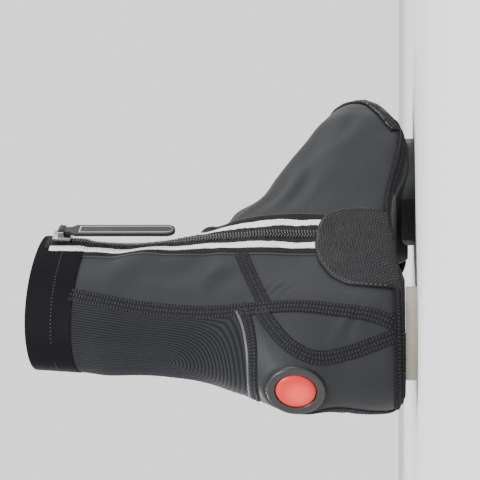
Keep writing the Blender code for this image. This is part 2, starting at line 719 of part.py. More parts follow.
def disc_rings(radii, front_of):
    """Rings of points over the heel: their backs lie on the form, their fronts where front_of says."""
    z0 = LAMP_HEIGHT * COLLAR_HEIGHT
    backs, fronts = [], []
    for radius in radii:
        back, front = [], []
        for i in range(LAMP_SIDES):
            angle = 2 * math.pi * i / LAMP_SIDES
            y, z = radius * math.cos(angle), z0 + radius * math.sin(angle)
            on_form = heel_back(y, z)
            back.append((on_form - LAMP_SEAT, y, z))
            front.append((front_of(radius, on_form), y, z))
        backs.append(back)
        fronts.append(front)
    return backs, fronts


def ring_faces(count):
    faces = []
    for i in range(count):
        for k in range(LAMP_SIDES):
            j, m = (i + 1) % count, (k + 1) % LAMP_SIDES
            faces.append((i * LAMP_SIDES + k, i * LAMP_SIDES + m, j * LAMP_SIDES + m, j * LAMP_SIDES + k))
    return faces


def lamp_pieces():
    """Moulded bezel and domed lens on the back of the heel."""
    rubber = material("moulded_bezel", (0.060, 0.060, 0.066), 0.55)
    glow = material("red_lens", (0.85, 0.22, 0.18), 0.25)
    middle = heel_back(0.0, LAMP_HEIGHT * COLLAR_HEIGHT)
    rises = {BEZEL_BORE + (BEZEL_RADIUS - BEZEL_BORE) * share: rise for share, rise in BEZEL_RINGS}

    def bezel_front(radius, on_form):
        plane = middle + (on_form - middle) * LAMP_FLATNESS
        return min(plane, on_form - LAMP_SEAT) - BEZEL_RISE * rises[radius]

    def lens_front(radius, on_form):
        return middle - BEZEL_RISE * LENS_SEAT - LENS_CROWN * (1.0 - (radius / LENS_RADIUS) ** 2)

    backs, fronts = disc_rings(list(rises), bezel_front)
    rings = fronts + backs[::-1]
    points = [point for ring in rings for point in ring]
    bezel = mesh_object("light_bezel", points, ring_faces(len(rings)), rubber)
    backs, fronts = disc_rings([LENS_RADIUS * share for share in LENS_SHARES], lens_front)
    rings = backs[::-1] + fronts
    points = [point for ring in rings for point in ring]
    faces = ring_faces(len(rings))[:-LAMP_SIDES]
    last = (len(rings) - 1) * LAMP_SIDES
    faces.append(tuple(range(LAMP_SIDES)))
    faces.append(tuple(last + k for k in range(LAMP_SIDES)))
    lens = mesh_object("light_lens", points, faces, glow)
    return [bezel, lens]


def box(name, centre, size, look=None):
    corners = [(centre[0] + sx * size[0] / 2, centre[1] + sy * size[1] / 2, centre[2] + sz * size[2] / 2)
               for sz in (-1, 1) for sy in (-1, 1) for sx in (-1, 1)]
    faces = [(0, 1, 3, 2), (4, 5, 7, 6), (0, 1, 5, 4), (2, 3, 7, 6), (0, 2, 6, 4), (1, 3, 7, 5)]
    return mesh_object(name, corners, faces, look)


def rod(name, centre, radius, length, sides=20, look=None):
    """A round rod along X."""
    points, faces = [], [tuple(range(sides)), tuple(range(sides, 2 * sides))]
    for end in (-0.5, 0.5):
        for i in range(sides):
            angle = 2 * math.pi * i / sides
            points.append((centre[0] + end * length, centre[1] + radius * math.cos(angle),
                           centre[2] + radius * math.sin(angle)))
    for i in range(sides):
        j = (i + 1) % sides
        faces.append((i, j, sides + j, sides + i))
    return mesh_object(name, points, faces, look)


def slider_place():
    """Middle of the slider's back, and the middle of the rod that carries the tab."""
    shares = np.linspace(0.0, 1.0, 400)
    heights = [zip_place(share)[1] for share in shares]
    share = float(np.interp(SLIDER_HEIGHT * COLLAR_HEIGHT, heights, shares))
    x, z = zip_place(share)
    reach = SLIDER_SIZE[2] / 2
    near = min(outer_side(x + dx, z + dz) for dx in (-0.004, 0.0, 0.004) for dz in (-reach, 0.0, reach))
    y = near - ZIP_COIL_RISE - GAP
    rod_y = y - SLIDER_SIZE[1] - ROD_RISE
    return Vector((x, y, z)), Vector((x, rod_y, z))


def slider_pieces():
    """Slider on the coil, its rod between two posts, and the tab that swings on the rod."""
    chrome = material("plated_slider", (0.72, 0.72, 0.70), 0.25, 1.0)
    rubber = material("pull_rubber", (0.035, 0.036, 0.040), 0.50)
    back, axis = slider_place()
    width, depth, height = SLIDER_SIZE
    body_centre = back - Vector((0, depth / 2, 0))
    slider = box("zip_slider", body_centre, SLIDER_SIZE, chrome)
    helpers = []
    for side in (-1, 1):
        post_depth = ROD_RISE + ROD_RADIUS + POST_TOP
        centre = (axis.x + side * (width - POST_WIDTH) / 2, back.y - depth + GAP - post_depth / 2, axis.z)
        post = box(f"post_{side}", centre, (POST_WIDTH, post_depth, POST_HEIGHT))
        cut(slider, post, "UNION")
        helpers.append(post)
    bar = rod("slider_rod", axis, ROD_RADIUS, width - POST_WIDTH)
    cut(slider, bar, "UNION")
    helpers.append(bar)

    tab = rod("pull_tab", (0, 0, 0), EYE_RADIUS, TAB_NECK, look=rubber)
    blade = pull_blade()
    cut(tab, blade, "UNION")
    bore = rod("eye_bore", (0, 0, 0), EYE_BORE, TAB_NECK * 2)
    cut(tab, bore)
    for thing in (tab, blade, bore):
        thing.location = axis
    return helpers + [slider, tab, blade, bore]


def pull_blade():
    """The tab's flat blade, hanging from the eye, with a round lower end."""
    start, neck_end, full = TAB_SHOULDER
    profile = [(-start, TAB_NECK), (-neck_end, TAB_NECK), (-full, TAB_WIDTH)]
    profile += [(-TAB_LENGTH + rise * TAB_WIDTH, width * TAB_WIDTH) for rise, width in TAB_END]
    grids = []
    for y in (-TAB_THICKNESS / 2, TAB_THICKNESS / 2):
        grids.append(np.array([[(-w / 2, y, z), (w / 2, y, z)] for z, w in profile]))
    return slab("tab_blade", grids[0], grids[1], None)


def floor_middle(made):
    """The point on the floor below the middle of all pieces."""
    bpy.context.view_layer.update()
    depsgraph = bpy.context.evaluated_depsgraph_get()
    corners = []
    for thing in made:
        if not thing.hide_render:
            shape = thing.evaluated_get(depsgraph).to_mesh()
            corners += [thing.matrix_world @ vertex.co for vertex in shape.vertices]
    corners = np.array(corners)
    middle = (corners.min(axis=0) + corners.max(axis=0)) / 2
    return Vector((middle[0], middle[1], corners[:, 2].min()))


def main():
    clear_scene()
    made = upper_pieces() + zip_pieces() + patch_piece() + cap_piece() + sole_pieces()
    made += tread_piece() + strap_piece() + lamp_pieces() + slider_pieces()
    ground = bpy.data.objects.new("shoe_middle", None)
    bpy.context.collection.objects.link(ground)
    ground.location = -floor_middle(made)
    for thing in made:
        thing.parent = ground


main()
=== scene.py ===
import math

import bmesh
import bpy
import numpy as np
from mathutils import Matrix, Vector, noise
from mathutils.bvhtree import BVHTree
from mathutils.kdtree import KDTree


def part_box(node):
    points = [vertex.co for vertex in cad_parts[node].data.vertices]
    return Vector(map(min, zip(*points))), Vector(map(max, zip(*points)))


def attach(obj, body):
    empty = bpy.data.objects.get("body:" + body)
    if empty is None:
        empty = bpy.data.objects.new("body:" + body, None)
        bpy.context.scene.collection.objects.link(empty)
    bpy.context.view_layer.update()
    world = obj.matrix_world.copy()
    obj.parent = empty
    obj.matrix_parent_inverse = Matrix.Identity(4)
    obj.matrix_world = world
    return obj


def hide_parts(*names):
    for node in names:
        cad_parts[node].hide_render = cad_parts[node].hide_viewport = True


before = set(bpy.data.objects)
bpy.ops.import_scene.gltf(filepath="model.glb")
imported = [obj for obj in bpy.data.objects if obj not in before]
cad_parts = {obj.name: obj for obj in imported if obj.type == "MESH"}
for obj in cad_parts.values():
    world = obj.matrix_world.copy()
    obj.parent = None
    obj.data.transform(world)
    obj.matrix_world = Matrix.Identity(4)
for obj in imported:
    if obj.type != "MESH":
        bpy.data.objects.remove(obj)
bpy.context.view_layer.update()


# Sole plate. The outsole of the road shoe inside, moulded in one piece of glass-filled nylon:
# satin dark grey under the ball of the foot, glossy black round the heel. The binding grips its rim.
SOLE_EDGE = 0.0005
SOLE_GREY = (0.030, 0.032, 0.035)
SOLE_BLACK = (0.006, 0.006, 0.007)
HEEL_GLOSS_UNTIL = -0.070
SCUFF_SIZE = 60.0


def new_piece(name, data):
    """A mesh, light or camera as an object of the scene."""
    piece = bpy.data.objects.new(name, data)
    bpy.context.scene.collection.objects.link(piece)
    return piece


def pick(piece):
    """Makes the piece the only selected and active object."""
    bpy.ops.object.select_all(action="DESELECT")
    piece.select_set(True)
    bpy.context.view_layer.objects.active = piece


def place(piece, look, slot, *nodes, body="root"):
    """Gives a finished piece its material and its place in the model."""
    piece.data.materials.clear()
    piece.data.materials.append(look)
    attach(piece, body)
    if nodes:
        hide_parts(*nodes)


def rounded_piece(node, name, width, look, slot, segments=2, body="root"):
    """A CAD node's own shape as a finished piece: triangles merged, sharp edges rounded."""
    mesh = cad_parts[node].data.copy()
    mesh.name = name
    shape = bmesh.new()
    shape.from_mesh(mesh)
    bmesh.ops.remove_doubles(shape, verts=shape.verts, dist=1e-6)
    bmesh.ops.dissolve_limit(shape, angle_limit=math.radians(1), verts=shape.verts, edges=shape.edges)
    shape.to_mesh(mesh)
    shape.free()
    piece = new_piece(name, mesh)
    pick(piece)
    step = piece.modifiers.new("edge", "BEVEL")
    step.width = width
    step.segments = segments
    step.limit_method = "ANGLE"
    step.angle_limit = math.radians(35)
    bpy.ops.object.modifier_apply(modifier=step.name)
    bpy.ops.object.shade_smooth_by_angle(angle=math.radians(40))
    place(piece, look, slot, node, body=body)


def new_look(name, colour, roughness, **more):
    """A material, its node tree and its Principled shader."""
    look = bpy.data.materials.new(name)
    look.use_nodes = True
    shader = look.node_tree.nodes["Principled BSDF"]
    shader.inputs["Base Color"].default_value = (*colour, 1.0)
    shader.inputs["Roughness"].default_value = roughness
    for socket, value in more.items():
        shader.inputs[socket.replace("_", " ")].default_value = value
    return look, look.node_tree, shader


def add(tree, kind, settings=None, **inputs):
    """A node with its settings and its input values or links."""
    made = tree.nodes.new("ShaderNode" + kind)
    for key, value in (settings or {}).items():
        setattr(made, key, value)
    for key, value in inputs.items():
        socket = made.inputs[int(key[1:]) if key[1:].isdigit() else key.replace("_", " ")]
        if isinstance(value, bpy.types.NodeSocket):
            tree.links.new(value, socket)
        else:
            socket.default_value = value
    return made


def on_piece(tree):
    return add(tree, "TexCoord").outputs["Object"]


def axes_of(tree, vector=None):
    """X, Y and Z of a vector, or of the place on the piece."""
    return add(tree, "SeparateXYZ", Vector=vector or on_piece(tree)).outputs


def maths(tree, operation, a, b=0.0, c=0.0):
    return add(tree, "Math", {"operation": operation}, _0=a, _1=b, _2=c).outputs[0]


def wave(tree, value, pitch):
    """A sine wave over a value, one turn for each pitch."""
    return maths(tree, "SINE", maths(tree, "MULTIPLY", value, 2 * math.pi / pitch))


def ramp(tree, value, start, end, low=0.0, high=1.0, kind="LINEAR"):
    """A value that runs from low to high while another runs from start to end."""
    return add(tree, "MapRange", {"interpolation_type": kind}, Value=value, From_Min=start, From_Max=end,
               To_Min=low, To_Max=high).outputs[0]


def blend_colour(tree, mask, low, high):
    """One colour where the mask is 0, another where it is 1; a colour may be a link."""
    low, high = ((*colour, 1.0) if isinstance(colour, tuple) else colour for colour in (low, high))
    return add(tree, "Mix", {"data_type": "RGBA"}, _0=mask, _6=low, _7=high).outputs[2]


def paint(tree, shader, mask, low, high):
    tree.links.new(blend_colour(tree, mask, low, high), shader.inputs["Base Color"])


def bump(tree, shader, height, distance):
    made = add(tree, "Bump", Height=height, Distance=distance, Strength=1.0)
    tree.links.new(made.outputs["Normal"], shader.inputs["Normal"])


def new_group(name, inputs, outputs):
    """An empty shader node group with named values in and out."""
    group = bpy.data.node_groups.new(name, "ShaderNodeTree")
    for label, value in inputs.items():
        socket = group.interface.new_socket(label, in_out="INPUT", socket_type="NodeSocketFloat")
        socket.default_value = value
    for label in outputs:
        group.interface.new_socket(label, in_out="OUTPUT", socket_type="NodeSocketFloat")
    return group, group.nodes.new("NodeGroupInput").outputs, group.nodes.new("NodeGroupOutput").inputs


def use_group(tree, group, **inputs):
    return add(tree, "Group", {"node_tree": group}, **inputs).outputs


# Handling marks, shared by the moulded and rubber pieces: faint smudges and scratches.
handling, given, found = new_group("handling marks", {"Size": 60.0}, ["Smudge", "Scratch"])
smudge = add(handling, "TexNoise", Vector=on_piece(handling), Scale=given["Size"], Detail=5.0, Roughness=0.6)
drawn_out = add(handling, "Mapping", Vector=on_piece(handling), Scale=(1.0, 9.0, 4.0),
                Rotation=(0.3, 0.5, 0.7))
hairline = add(handling, "TexNoise", Vector=drawn_out.outputs[0], Scale=260.0, Detail=3.0)
handling.links.new(smudge.outputs[0], found["Smudge"])
handling.links.new(ramp(handling, hairline.outputs[0], 0.60, 0.72), found["Scratch"])


def handled(tree, shader, size, low, high):
    """Gloss that smudges break up, from one roughness to another."""
    marks = use_group(tree, handling, Size=size)
    tree.links.new(ramp(tree, marks["Smudge"], 0.0, 1.0, low, high), shader.inputs["Roughness"])


sole_look, tree, shader = new_look("moulded sole", SOLE_GREY, 0.4, Specular_IOR_Level=0.5)
marks = use_group(tree, handling, Size=SCUFF_SIZE)
forward = ramp(tree, axes_of(tree)["X"], HEEL_GLOSS_UNTIL - 0.01, HEEL_GLOSS_UNTIL)
paint(tree, shader, forward, SOLE_BLACK, SOLE_GREY)
satin = maths(tree, "MULTIPLY_ADD", marks["Smudge"], 0.12, ramp(tree, forward, 0.0, 1.0, 0.16, 0.42))
tree.links.new(satin, shader.inputs["Roughness"])
bump(tree, shader, marks["Scratch"], 0.00005)
rounded_piece("sole_plate", "sole_unit", SOLE_EDGE, sole_look, "moulded_sole")


# Bolt inserts. Three turned steel bushes with a thread, pressed into the forefoot plate.
# They take the pedal cleat's bolts and carry a dark oxide finish.
THREAD_PITCH = 0.0008
INSERT_EDGE = 0.00025
insert_look, tree, shader = new_look("dark insert", (0.20, 0.20, 0.21), 0.35, Metallic=1.0)
bump(tree, shader, wave(tree, axes_of(tree)["Z"], THREAD_PITCH), 0.00012)
for number in (1, 2, 3):
    rounded_piece(f"bolt_insert_{number}", f"insert_{number}", INSERT_EDGE, insert_look, "dark_insert")


# Heel tread. A cream rubber C with a honeycomb relief, moulded with its round pad and
# screwed to the sole plate from below.
CREAM = (0.70, 0.68, 0.55)
CREAM_SMUDGE_AND_SHADE = (0.42, 0.40, 0.31)
TREAD_EDGE = 0.0006
COMB = 0.0021

# Cells set like bricks, shared by the tread's comb and the toe weave's flecks: one unit wide, each
# row half a step on. It gives the way from the cell's middle, and a chance for each cell.
bricks, given, found = new_group("set bricks", {"Across": 0.0, "Along": 0.0}, ["Across", "Along", "Chance"])
row = maths(bricks, "FLOOR", given["Along"])
shifted = maths(bricks, "MULTIPLY_ADD", maths(bricks, "MODULO", row, 2.0), 0.5, given["Across"])
number = add(bricks, "CombineXYZ", X=maths(bricks, "FLOOR", shifted), Y=row)
chance = add(bricks, "TexWhiteNoise", {"noise_dimensions": "2D"}, Vector=number.outputs[0])
for label, place_in in (("Across", shifted), ("Along", given["Along"])):
    bricks.links.new(maths(bricks, "SUBTRACT", maths(bricks, "FRACT", place_in), 0.5), found[label])
bricks.links.new(chance.outputs["Value"], found["Chance"])

tread_look, tree, shader = new_look("pale rubber", CREAM, 0.55)
spot = axes_of(tree)
comb = use_group(tree, bricks, Across=maths(tree, "DIVIDE", spot["X"], COMB),
                 Along=maths(tree, "DIVIDE", spot["Y"], COMB))
in_column = maths(tree, "ABSOLUTE", comb["Across"])
in_row = maths(tree, "ABSOLUTE", comb["Along"])
squares = maths(tree, "MULTIPLY_ADD", in_row, in_row, maths(tree, "POWER", in_column, 2.0))
edge = maths(tree, "ADD", maths(tree, "MAXIMUM", in_row, in_column), maths(tree, "SQRT", squares))
lump = ramp(tree, edge, 1.00, 0.60, kind="SMOOTHSTEP")
facing = axes_of(tree, add(tree, "NewGeometry").outputs["Normal"])["Z"]
under = maths(tree, "LESS_THAN", facing, -0.5)
# On the underside the gaps between the comb's cells are painted darker: painted shade in the relief. The
# smudges that also darken the cream are handling marks.
comb_gap_shade = maths(tree, "MULTIPLY", maths(tree, "SUBTRACT", 1.0, lump), maths(tree, "MULTIPLY", under, 0.6))
marks = use_group(tree, handling, Size=90.0)
paint(tree, shader, maths(tree, "MULTIPLY_ADD", marks["Smudge"], 0.25, comb_gap_shade), CREAM, CREAM_SMUDGE_AND_SHADE)
bump(tree, shader, maths(tree, "MULTIPLY", lump, under), 0.0003)
rounded_piece("heel_tread", "tread", TREAD_EDGE, tread_look, "pale_rubber")


# Insole. A thin foam bed under a brushed knit, laid loose on the sole plate; it shows
# deep inside the collar.
INSOLE_EDGE = 0.0008
insole_look, tree, shader = new_look("insole knit", (0.030, 0.030, 0.033), 0.95, Sheen_Weight=0.3)
nap = add(tree, "TexNoise", Vector=on_piece(tree), Scale=900.0, Detail=3.0).outputs[0]
paint(tree, shader, nap, (0.018, 0.018, 0.02), (0.05, 0.05, 0.055))
bump(tree, shader, nap, 0.0003)
rounded_piece("insole", "insole_bed", INSOLE_EDGE, insole_look, "insole_foam")


# Upper. One hollow shell of stretch fabric with a thin matt coating outside and a brushed
# lining inside, sewn from panels and pulled over the shoe; it stands slack above the ankle.
LENGTH = 0.306
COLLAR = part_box("cuff")[1].z
HEEL_HALF = 0.040
OUTER_HALVES = (HEEL_HALF, 0.043, 0.053, 0.043)
INNER_HALVES = (HEEL_HALF, 0.038, 0.052, 0.051)
TOE_SWING = 0.008
STATIONS = (0.14, 0.42, 0.72, 0.90)
END_POWER = 2.1
WALL = 0.0020
AROUND = 288
ROWS = 176

# One row for each loop, from the sole opening up to the collar: lengths are shares of LENGTH,
# heights of COLLAR, widths of the half widths, and the two rounds are shares of the loop.
COLUMNS = ("back_x", "back_z", "front_x", "front_z", "heel", "waist", "arch", "ball", "ball_in", "toe",
           "heel_round", "toe_round", "waist_lift", "ball_drop")
LOOPS = (
    (0.042, 0.034, 0.866, 0.063, 0.76, 0.84, 0.58, 0.82, 0.78, 0.80, 0.14, 0.21, 0.022, 0.028),
    (0.013, 0.055, 0.931, 0.092, 0.97, 0.95, 0.87, 0.96, 0.95, 0.98, 0.15, 0.22, 0.014, 0.032),
    (0.003, 0.109, 0.980, 0.122, 1.01, 0.99, 0.97, 1.00, 1.00, 1.02, 0.15, 0.22, 0.010, 0.026),
    (0.000, 0.176, 1.000, 0.160, 0.99, 1.01, 1.00, 1.03, 0.99, 1.05, 0.15, 0.22, 0.006, 0.022),
    (0.000, 0.244, 0.989, 0.212, 0.96, 1.02, 1.02, 1.03, 0.94, 1.04, 0.15, 0.23, 0.004, 0.016),
    (0.003, 0.311, 0.948, 0.260, 0.93, 1.00, 1.02, 0.95, 0.82, 0.90, 0.16, 0.25, 0.000, 0.006),
    (0.016, 0.378, 0.866, 0.298, 0.90, 0.98, 0.98, 0.87, 0.71, 0.74, 0.18, 0.30, 0.000, 0.000),
    (0.039, 0.445, 0.754, 0.344, 0.88, 0.94, 0.94, 0.77, 0.64, 0.66, 0.22, 0.37, 0.000, 0.000),
    (0.059, 0.513, 0.638, 0.414, 0.86, 0.89, 0.91, 0.69, 0.62, 0.66, 0.30, 0.46, 0.000, 0.000),
    (0.072, 0.580, 0.538, 0.500, 0.86, 0.84, 0.91, 0.66, 0.64, 0.72, 0.42, 0.54, 0.000, 0.000),
    (0.082, 0.651, 0.456, 0.585, 0.86, 0.80, 0.91, 0.65, 0.66, 0.74, 0.50, 0.50, 0.000, 0.000),
    (0.088, 0.723, 0.420, 0.683, 0.85, 0.80, 0.90, 0.65, 0.66, 0.74, 0.50, 0.50, 0.000, 0.000),
    (0.092, 0.807, 0.412, 0.798, 0.85, 0.79, 0.90, 0.65, 0.66, 0.74, 0.50, 0.50, 0.000, 0.000),
    (0.098, 0.878, 0.422, 0.878, 0.86, 0.80, 0.91, 0.66, 0.67, 0.75, 0.50, 0.50, 0.000, 0.000),
    (0.106, 0.992, 0.440, 1.000, 0.88, 0.82, 0.93, 0.67, 0.68, 0.76, 0.50, 0.50, 0.000, 0.000),
)
TOP_LEVEL = len(LOOPS) - 1
CUFF_LEVEL = 13.0

# Folds of the slack fabric, in millimetres: side is -1 outer, 1 inner or 0 both; two ends as x, z on
# the side of the shoe; bow bends the fold sideways; height is negative for a trough; width.
FOLD_GAIN = 1.5
FOLDS = (
    (-1, -112, 87, -97, 72, 1.2, -0.6, 1.3), (-1, -109, 91, -96, 80, 1.0, -0.5, 1.2),
    (-1, -111, 80, -101, 66, 1.0, -0.4, 1.2), (-1, -98, 190, -60, 150, 6.0, 1.4, 9.0),
    (-1, -90, 160, -64, 120, -5.0, -1.3, 8.0), (-1, -104, 130, -78, 112, 3.0, 1.0, 6.0),
    (-1, -30, 185, -40, 120, 4.0, -1.6, 7.0), (-1, -26, 132, 16, 92, -6.0, -1.6, 6.0),
    (-1, -34, 112, 24, 78, -6.0, -1.1, 5.0), (-1, -36, 88, 20, 66, -4.0, -0.8, 4.5),
    (-1, 10, 80, 70, 58, -4.0, -0.8, 6.0), (-1, 30, 60, 85, 36, -3.0, -0.6, 5.0),
    (0, -30, 118, 12, 124, 3.0, -1.6, 6.0), (0, -34, 146, -8, 142, 2.0, -1.4, 7.0),
    (0, 20, 98, 40, 94, 2.0, -0.8, 5.0), (1, -100, 196, -50, 150, 8.0, -1.6, 9.0),
    (1, -60, 200, -30, 160, -6.0, 1.4, 9.0), (1, -110, 140, -40, 118, 6.0, -1.8, 8.0),
    (1, -105, 112, -50, 98, 5.0, -1.0, 6.0), (1, -50, 100, 20, 70, -6.0, -1.2, 6.0),
    (1, -20, 72, 60, 50, -4.0, -0.9, 6.0), (1, 40, 50, 95, 62, 3.0, -0.8, 4.5),
    (1, 60, 36, 110, 44, 2.0, -0.6, 4.0), (-1, -142, 40, -118, 30, 1.0, -0.5, 2.2),
    (-1, -144, 50, -126, 36, 1.0, 0.4, 2.4), (1, -142, 42, -120, 32, 1.0, -0.5, 2.2),
)


def bell(share, centre, reach=0.30):
    """One at the centre, smoothly zero at reach from it."""
    return np.cos(np.clip(abs(share - centre) / reach, 0.0, 1.0) * math.pi / 2) ** 2


def smooth_through(values, at, places):
    """Monotone smooth curve through a few values."""
    values, at = np.asarray(values, float), np.asarray(at, float)
    step = np.diff(values) / np.diff(at)
    slope = np.zeros(len(values))
    for i in range(1, len(values) - 1):
        if step[i - 1] * step[i] > 0:
            slope[i] = 2 * step[i - 1] * step[i] / (step[i - 1] + step[i])
    cell = np.clip(np.searchsorted(at, places) - 1, 0, len(at) - 2)
    width = at[cell + 1] - at[cell]
    t = np.clip((places - at[cell]) / width, 0.0, 1.0)
    rise = t * t * (3 - 2 * t)
    return (values[cell] * (1 - rise) + values[cell + 1] * rise
            + width * t * (1 - t) * (slope[cell] * (1 - t) - slope[cell + 1] * t))


def run_along(points):
    """Distance travelled along the first axis of a line or a grid of points."""
    steps = np.linalg.norm(np.diff(points, axis=0), axis=-1)
    return np.concatenate([np.zeros((1, *steps.shape[1:])), np.cumsum(steps, axis=0)])


def even_points(line, count):
    """The line again, as count + 1 points at even distances."""
    run = run_along(line)
    stops = np.linspace(0.0, run[-1], count + 1)
    return np.stack([np.interp(stops, run, column) for column in line.T], axis=1)


def form_row(row):
    """One closed loop, from the back along the outer side to the front and back again."""
    size = dict(zip(COLUMNS, row))
    share = (1.0 - np.cos(np.linspace(0.0, math.pi, 601))) / 2
    reach = size["front_x"] - size["back_x"]
    along = size["back_x"] + reach * share
    height = size["back_z"] + (size["front_z"] - size["back_z"]) * share
    height += size["waist_lift"] * bell(share, STATIONS[1]) - size["ball_drop"] * bell(share, STATIONS[2])
    rear = np.clip(1.0 - share / size["heel_round"], 0.0, 1.0)
    front = np.clip(1.0 - (1.0 - share) / size["toe_round"], 0.0, 1.0)
    rounding = ((1.0 - rear ** END_POWER) * (1.0 - front ** END_POWER)) ** (1.0 / END_POWER)
    centre = TOE_SWING * reach ** 2 * share ** 3
    halves = []
    for side, widths, names in ((-1, OUTER_HALVES, ("heel", "waist", "ball", "toe")),
                                (1, INNER_HALVES, ("heel", "arch", "ball_in", "toe"))):
        shares = [size[name] for name in names]
        width = smooth_through(np.multiply(widths, shares), STATIONS, share)
        across = centre + side * (width - side * centre) * rounding
        halves.append(even_points(np.stack([along * LENGTH, across, height * COLLAR], axis=1), AROUND // 2))
    return np.concatenate([halves[0][:-1], halves[1][:0:-1]])


def curve_at(before, start, end, after, t):
    """A smooth curve from start to end, that heads on to its neighbours."""
    return 0.5 * (2 * start + (end - before) * t + (2 * before - 5 * start + 4 * end - after) * t ** 2
                  + (3 * start - before - 3 * end + after) * t ** 3)


FORM_ROWS = np.array([form_row(row) for row in LOOPS])


def form_at(levels):
    """The form's loops at these levels, as rows by points around."""
    low = np.minimum(levels.astype(int), TOP_LEVEL - 1)
    four = [FORM_ROWS[np.clip(low + step, 0, TOP_LEVEL)] for step in (-1, 0, 1, 2)]
    return curve_at(*four, (levels - low)[:, None, None])


def outward(loops):
    """Outward direction at every point of a stack of loops."""
    rise = np.gradient(loops, axis=0)
    run = np.roll(loops, -1, axis=1) - np.roll(loops, 1, axis=1)
    out = np.cross(run, rise)
    out /= np.maximum(np.linalg.norm(out, axis=2, keepdims=True), 1e-12)
    radial = loops - loops.mean(axis=1, keepdims=True)
    return out if (out[..., :2] * radial[..., :2]).sum() > 0 else -out


def surface_of(loops):
    """A stack of loops as a surface that points are put on."""
    rows, around = loops.shape[:2]
    i, k = np.meshgrid(np.arange(rows - 1), np.arange(around), indexing="ij")
    m = (k + 1) % around
    quads = np.stack([i * around + k, i * around + m, (i + 1) * around + m, (i + 1) * around + k], axis=-1)
    return BVHTree.FromPolygons(loops.reshape(-1, 3).tolist(), quads.reshape(-1, 4).tolist())


def fold_lift(points):
    """How far the folds push each point of the fabric out."""
    lift = np.zeros(points.shape[:2])
    for side, *fold in FOLDS:
        x0, z0, x1, z1, bow, height, width = np.array(fold) / 1000
        start, end = np.array([x0, z0]), np.array([x1, z1])
        length = np.linalg.norm(end - start)
        run = (end - start) / length
        flat = points[..., (0, 2)] - start
        t = flat @ run / length
        off = flat @ np.array([-run[1], run[0]]) - bow * 4 * t * (1 - t)
        fade = np.sin(math.pi * np.clip(t, 0.0, 1.0)) ** 1.2
        trough = np.exp(-(off / width) ** 2)
        ridges = np.exp(-((abs(off) - 1.8 * width) / width) ** 2)
        near_side = 1.0 if side == 0 else np.clip(0.5 + side * points[..., 1] / 0.016, 0.0, 1.0)
        lift += FOLD_GAIN * height * fade * (trough - 0.4 * ridges) * near_side
    return lift


even_levels = np.linspace(0.0, TOP_LEVEL, 561)
mean_step = np.linalg.norm(np.diff(form_at(even_levels), axis=0), axis=2).mean(axis=1)
travelled = np.concatenate([[0.0], np.cumsum(mean_step)])
levels = np.interp(np.linspace(0.0, travelled[-1], ROWS), travelled, even_levels)
form = form_at(levels)
upper_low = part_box("upper")[0]
clear_of_binding = form[levels > 1.0].reshape(-1, 3).min(axis=0)
form += np.array([upper_low.x - clear_of_binding[0], upper_low.y - clear_of_binding[1], 0.0])
smooth_form = surface_of(form)
FAR = 0.5
HEEL_AXIS = -0.095
TOE_AXIS = 0.090


def on_surface(surface, kind, a, b):
    """The point that a ray from one side meets: kind says where a and b, in metres or degrees, count."""
    turn = math.radians(a)
    spot, way = {
        "outer": ((a, 0, b), (0, 1, 0)),
        "inner": ((a, 0, b), (0, -1, 0)),
        "top": ((a, b, 0), (0, 0, -1)),
        "back": ((HEEL_AXIS, 0, b), (math.cos(turn), -math.sin(turn), 0)),
        "toe": ((TOE_AXIS, 0, b), (-math.cos(turn), -math.sin(turn), 0)),
    }[kind]
    return surface.ray_cast(Vector(spot) - FAR * Vector(way), Vector(way))[0]


def smooth_path(surface, places, step=0.0012):
    """A smooth line over the surface through listed places, as points about a step apart."""
    knots = np.array([on_surface(surface, *spot) for spot in places])
    knots = np.concatenate([[2 * knots[0] - knots[1]], knots, [2 * knots[-1] - knots[-2]]])
    line = [curve_at(*four, t) for four in zip(knots, knots[1:], knots[2:], knots[3:])
            for t in np.linspace(0.0, 1.0, 24, endpoint=False)]
    line = np.array([surface.find_nearest(Vector(point))[0] for point in (*line, knots[-2])])
    return even_points(line, max(4, int(run_along(line)[-1] / step)))


# The seams' lines are drawn first, because the panels puff up a little between their seams.
SIDE_LINE = ((-0.1002, 0.2090), (-0.1065, 0.178), (-0.1106, 0.150), (-0.1150, 0.118), (-0.1170, 0.098),
             (-0.1190, 0.075), (-0.1235, 0.048), (-0.1280, 0.026), (-0.1310, 0.013))
U_LINE = ((57, 0.092), (40, 0.084), (26, 0.072), (19.5, 0.058))
SEAMS = {
    "side_outer": [("outer", x, z) for x, z in SIDE_LINE],
    "side_inner": [("inner", x, z) for x, z in SIDE_LINE],
    "arc": [("back", angle, 0.0925 + 0.011 * (angle / 62.0) ** 2) for angle in range(-60, 61, 20)],
    "cross_outer": [("outer", -0.0700, 0.1062), ("outer", -0.0930, 0.0975), ("outer", -0.1165, 0.0880)],
    "front": [("outer", -0.0335, 0.1275), ("outer", -0.0240, 0.1330), ("top", -0.0175, -0.012),
              ("top", -0.0165, 0.002)],
    "u_outer": [("back", -angle, z) for angle, z in (*U_LINE, (23, 0.038), (33, 0.012))],
    "u_inner": [("back", angle, z) for angle, z in (*U_LINE, (23, 0.040), (30, 0.024), (36, 0.011))],
    "cap_edge": [("outer", 0.0940, 0.0270), ("outer", 0.1000, 0.0320), ("outer", 0.1120, 0.0435),
                 ("outer", 0.1240, 0.0540), ("top", 0.1315, -0.018), ("top", 0.1330, 0.006),
                 ("top", 0.1315, 0.028), ("inner", 0.1240, 0.0540), ("inner", 0.1120, 0.0435),
                 ("inner", 0.1000, 0.0320), ("inner", 0.0920, 0.0250)],
    "rand": [("outer", 0.0560, 0.0125), ("outer", 0.0710, 0.0190), ("outer", 0.0880, 0.0260),
             ("outer", 0.1050, 0.0330), ("toe", -48, 0.0375), ("toe", -22, 0.0395), ("toe", 4, 0.0400),
             ("toe", 28, 0.0392), ("toe", 50, 0.0375), ("inner", 0.1080, 0.0345), ("inner", 0.0900, 0.0270),
             ("inner", 0.0660, 0.0200), ("inner", 0.0440, 0.0150), ("inner", 0.0300, 0.0115)],
}
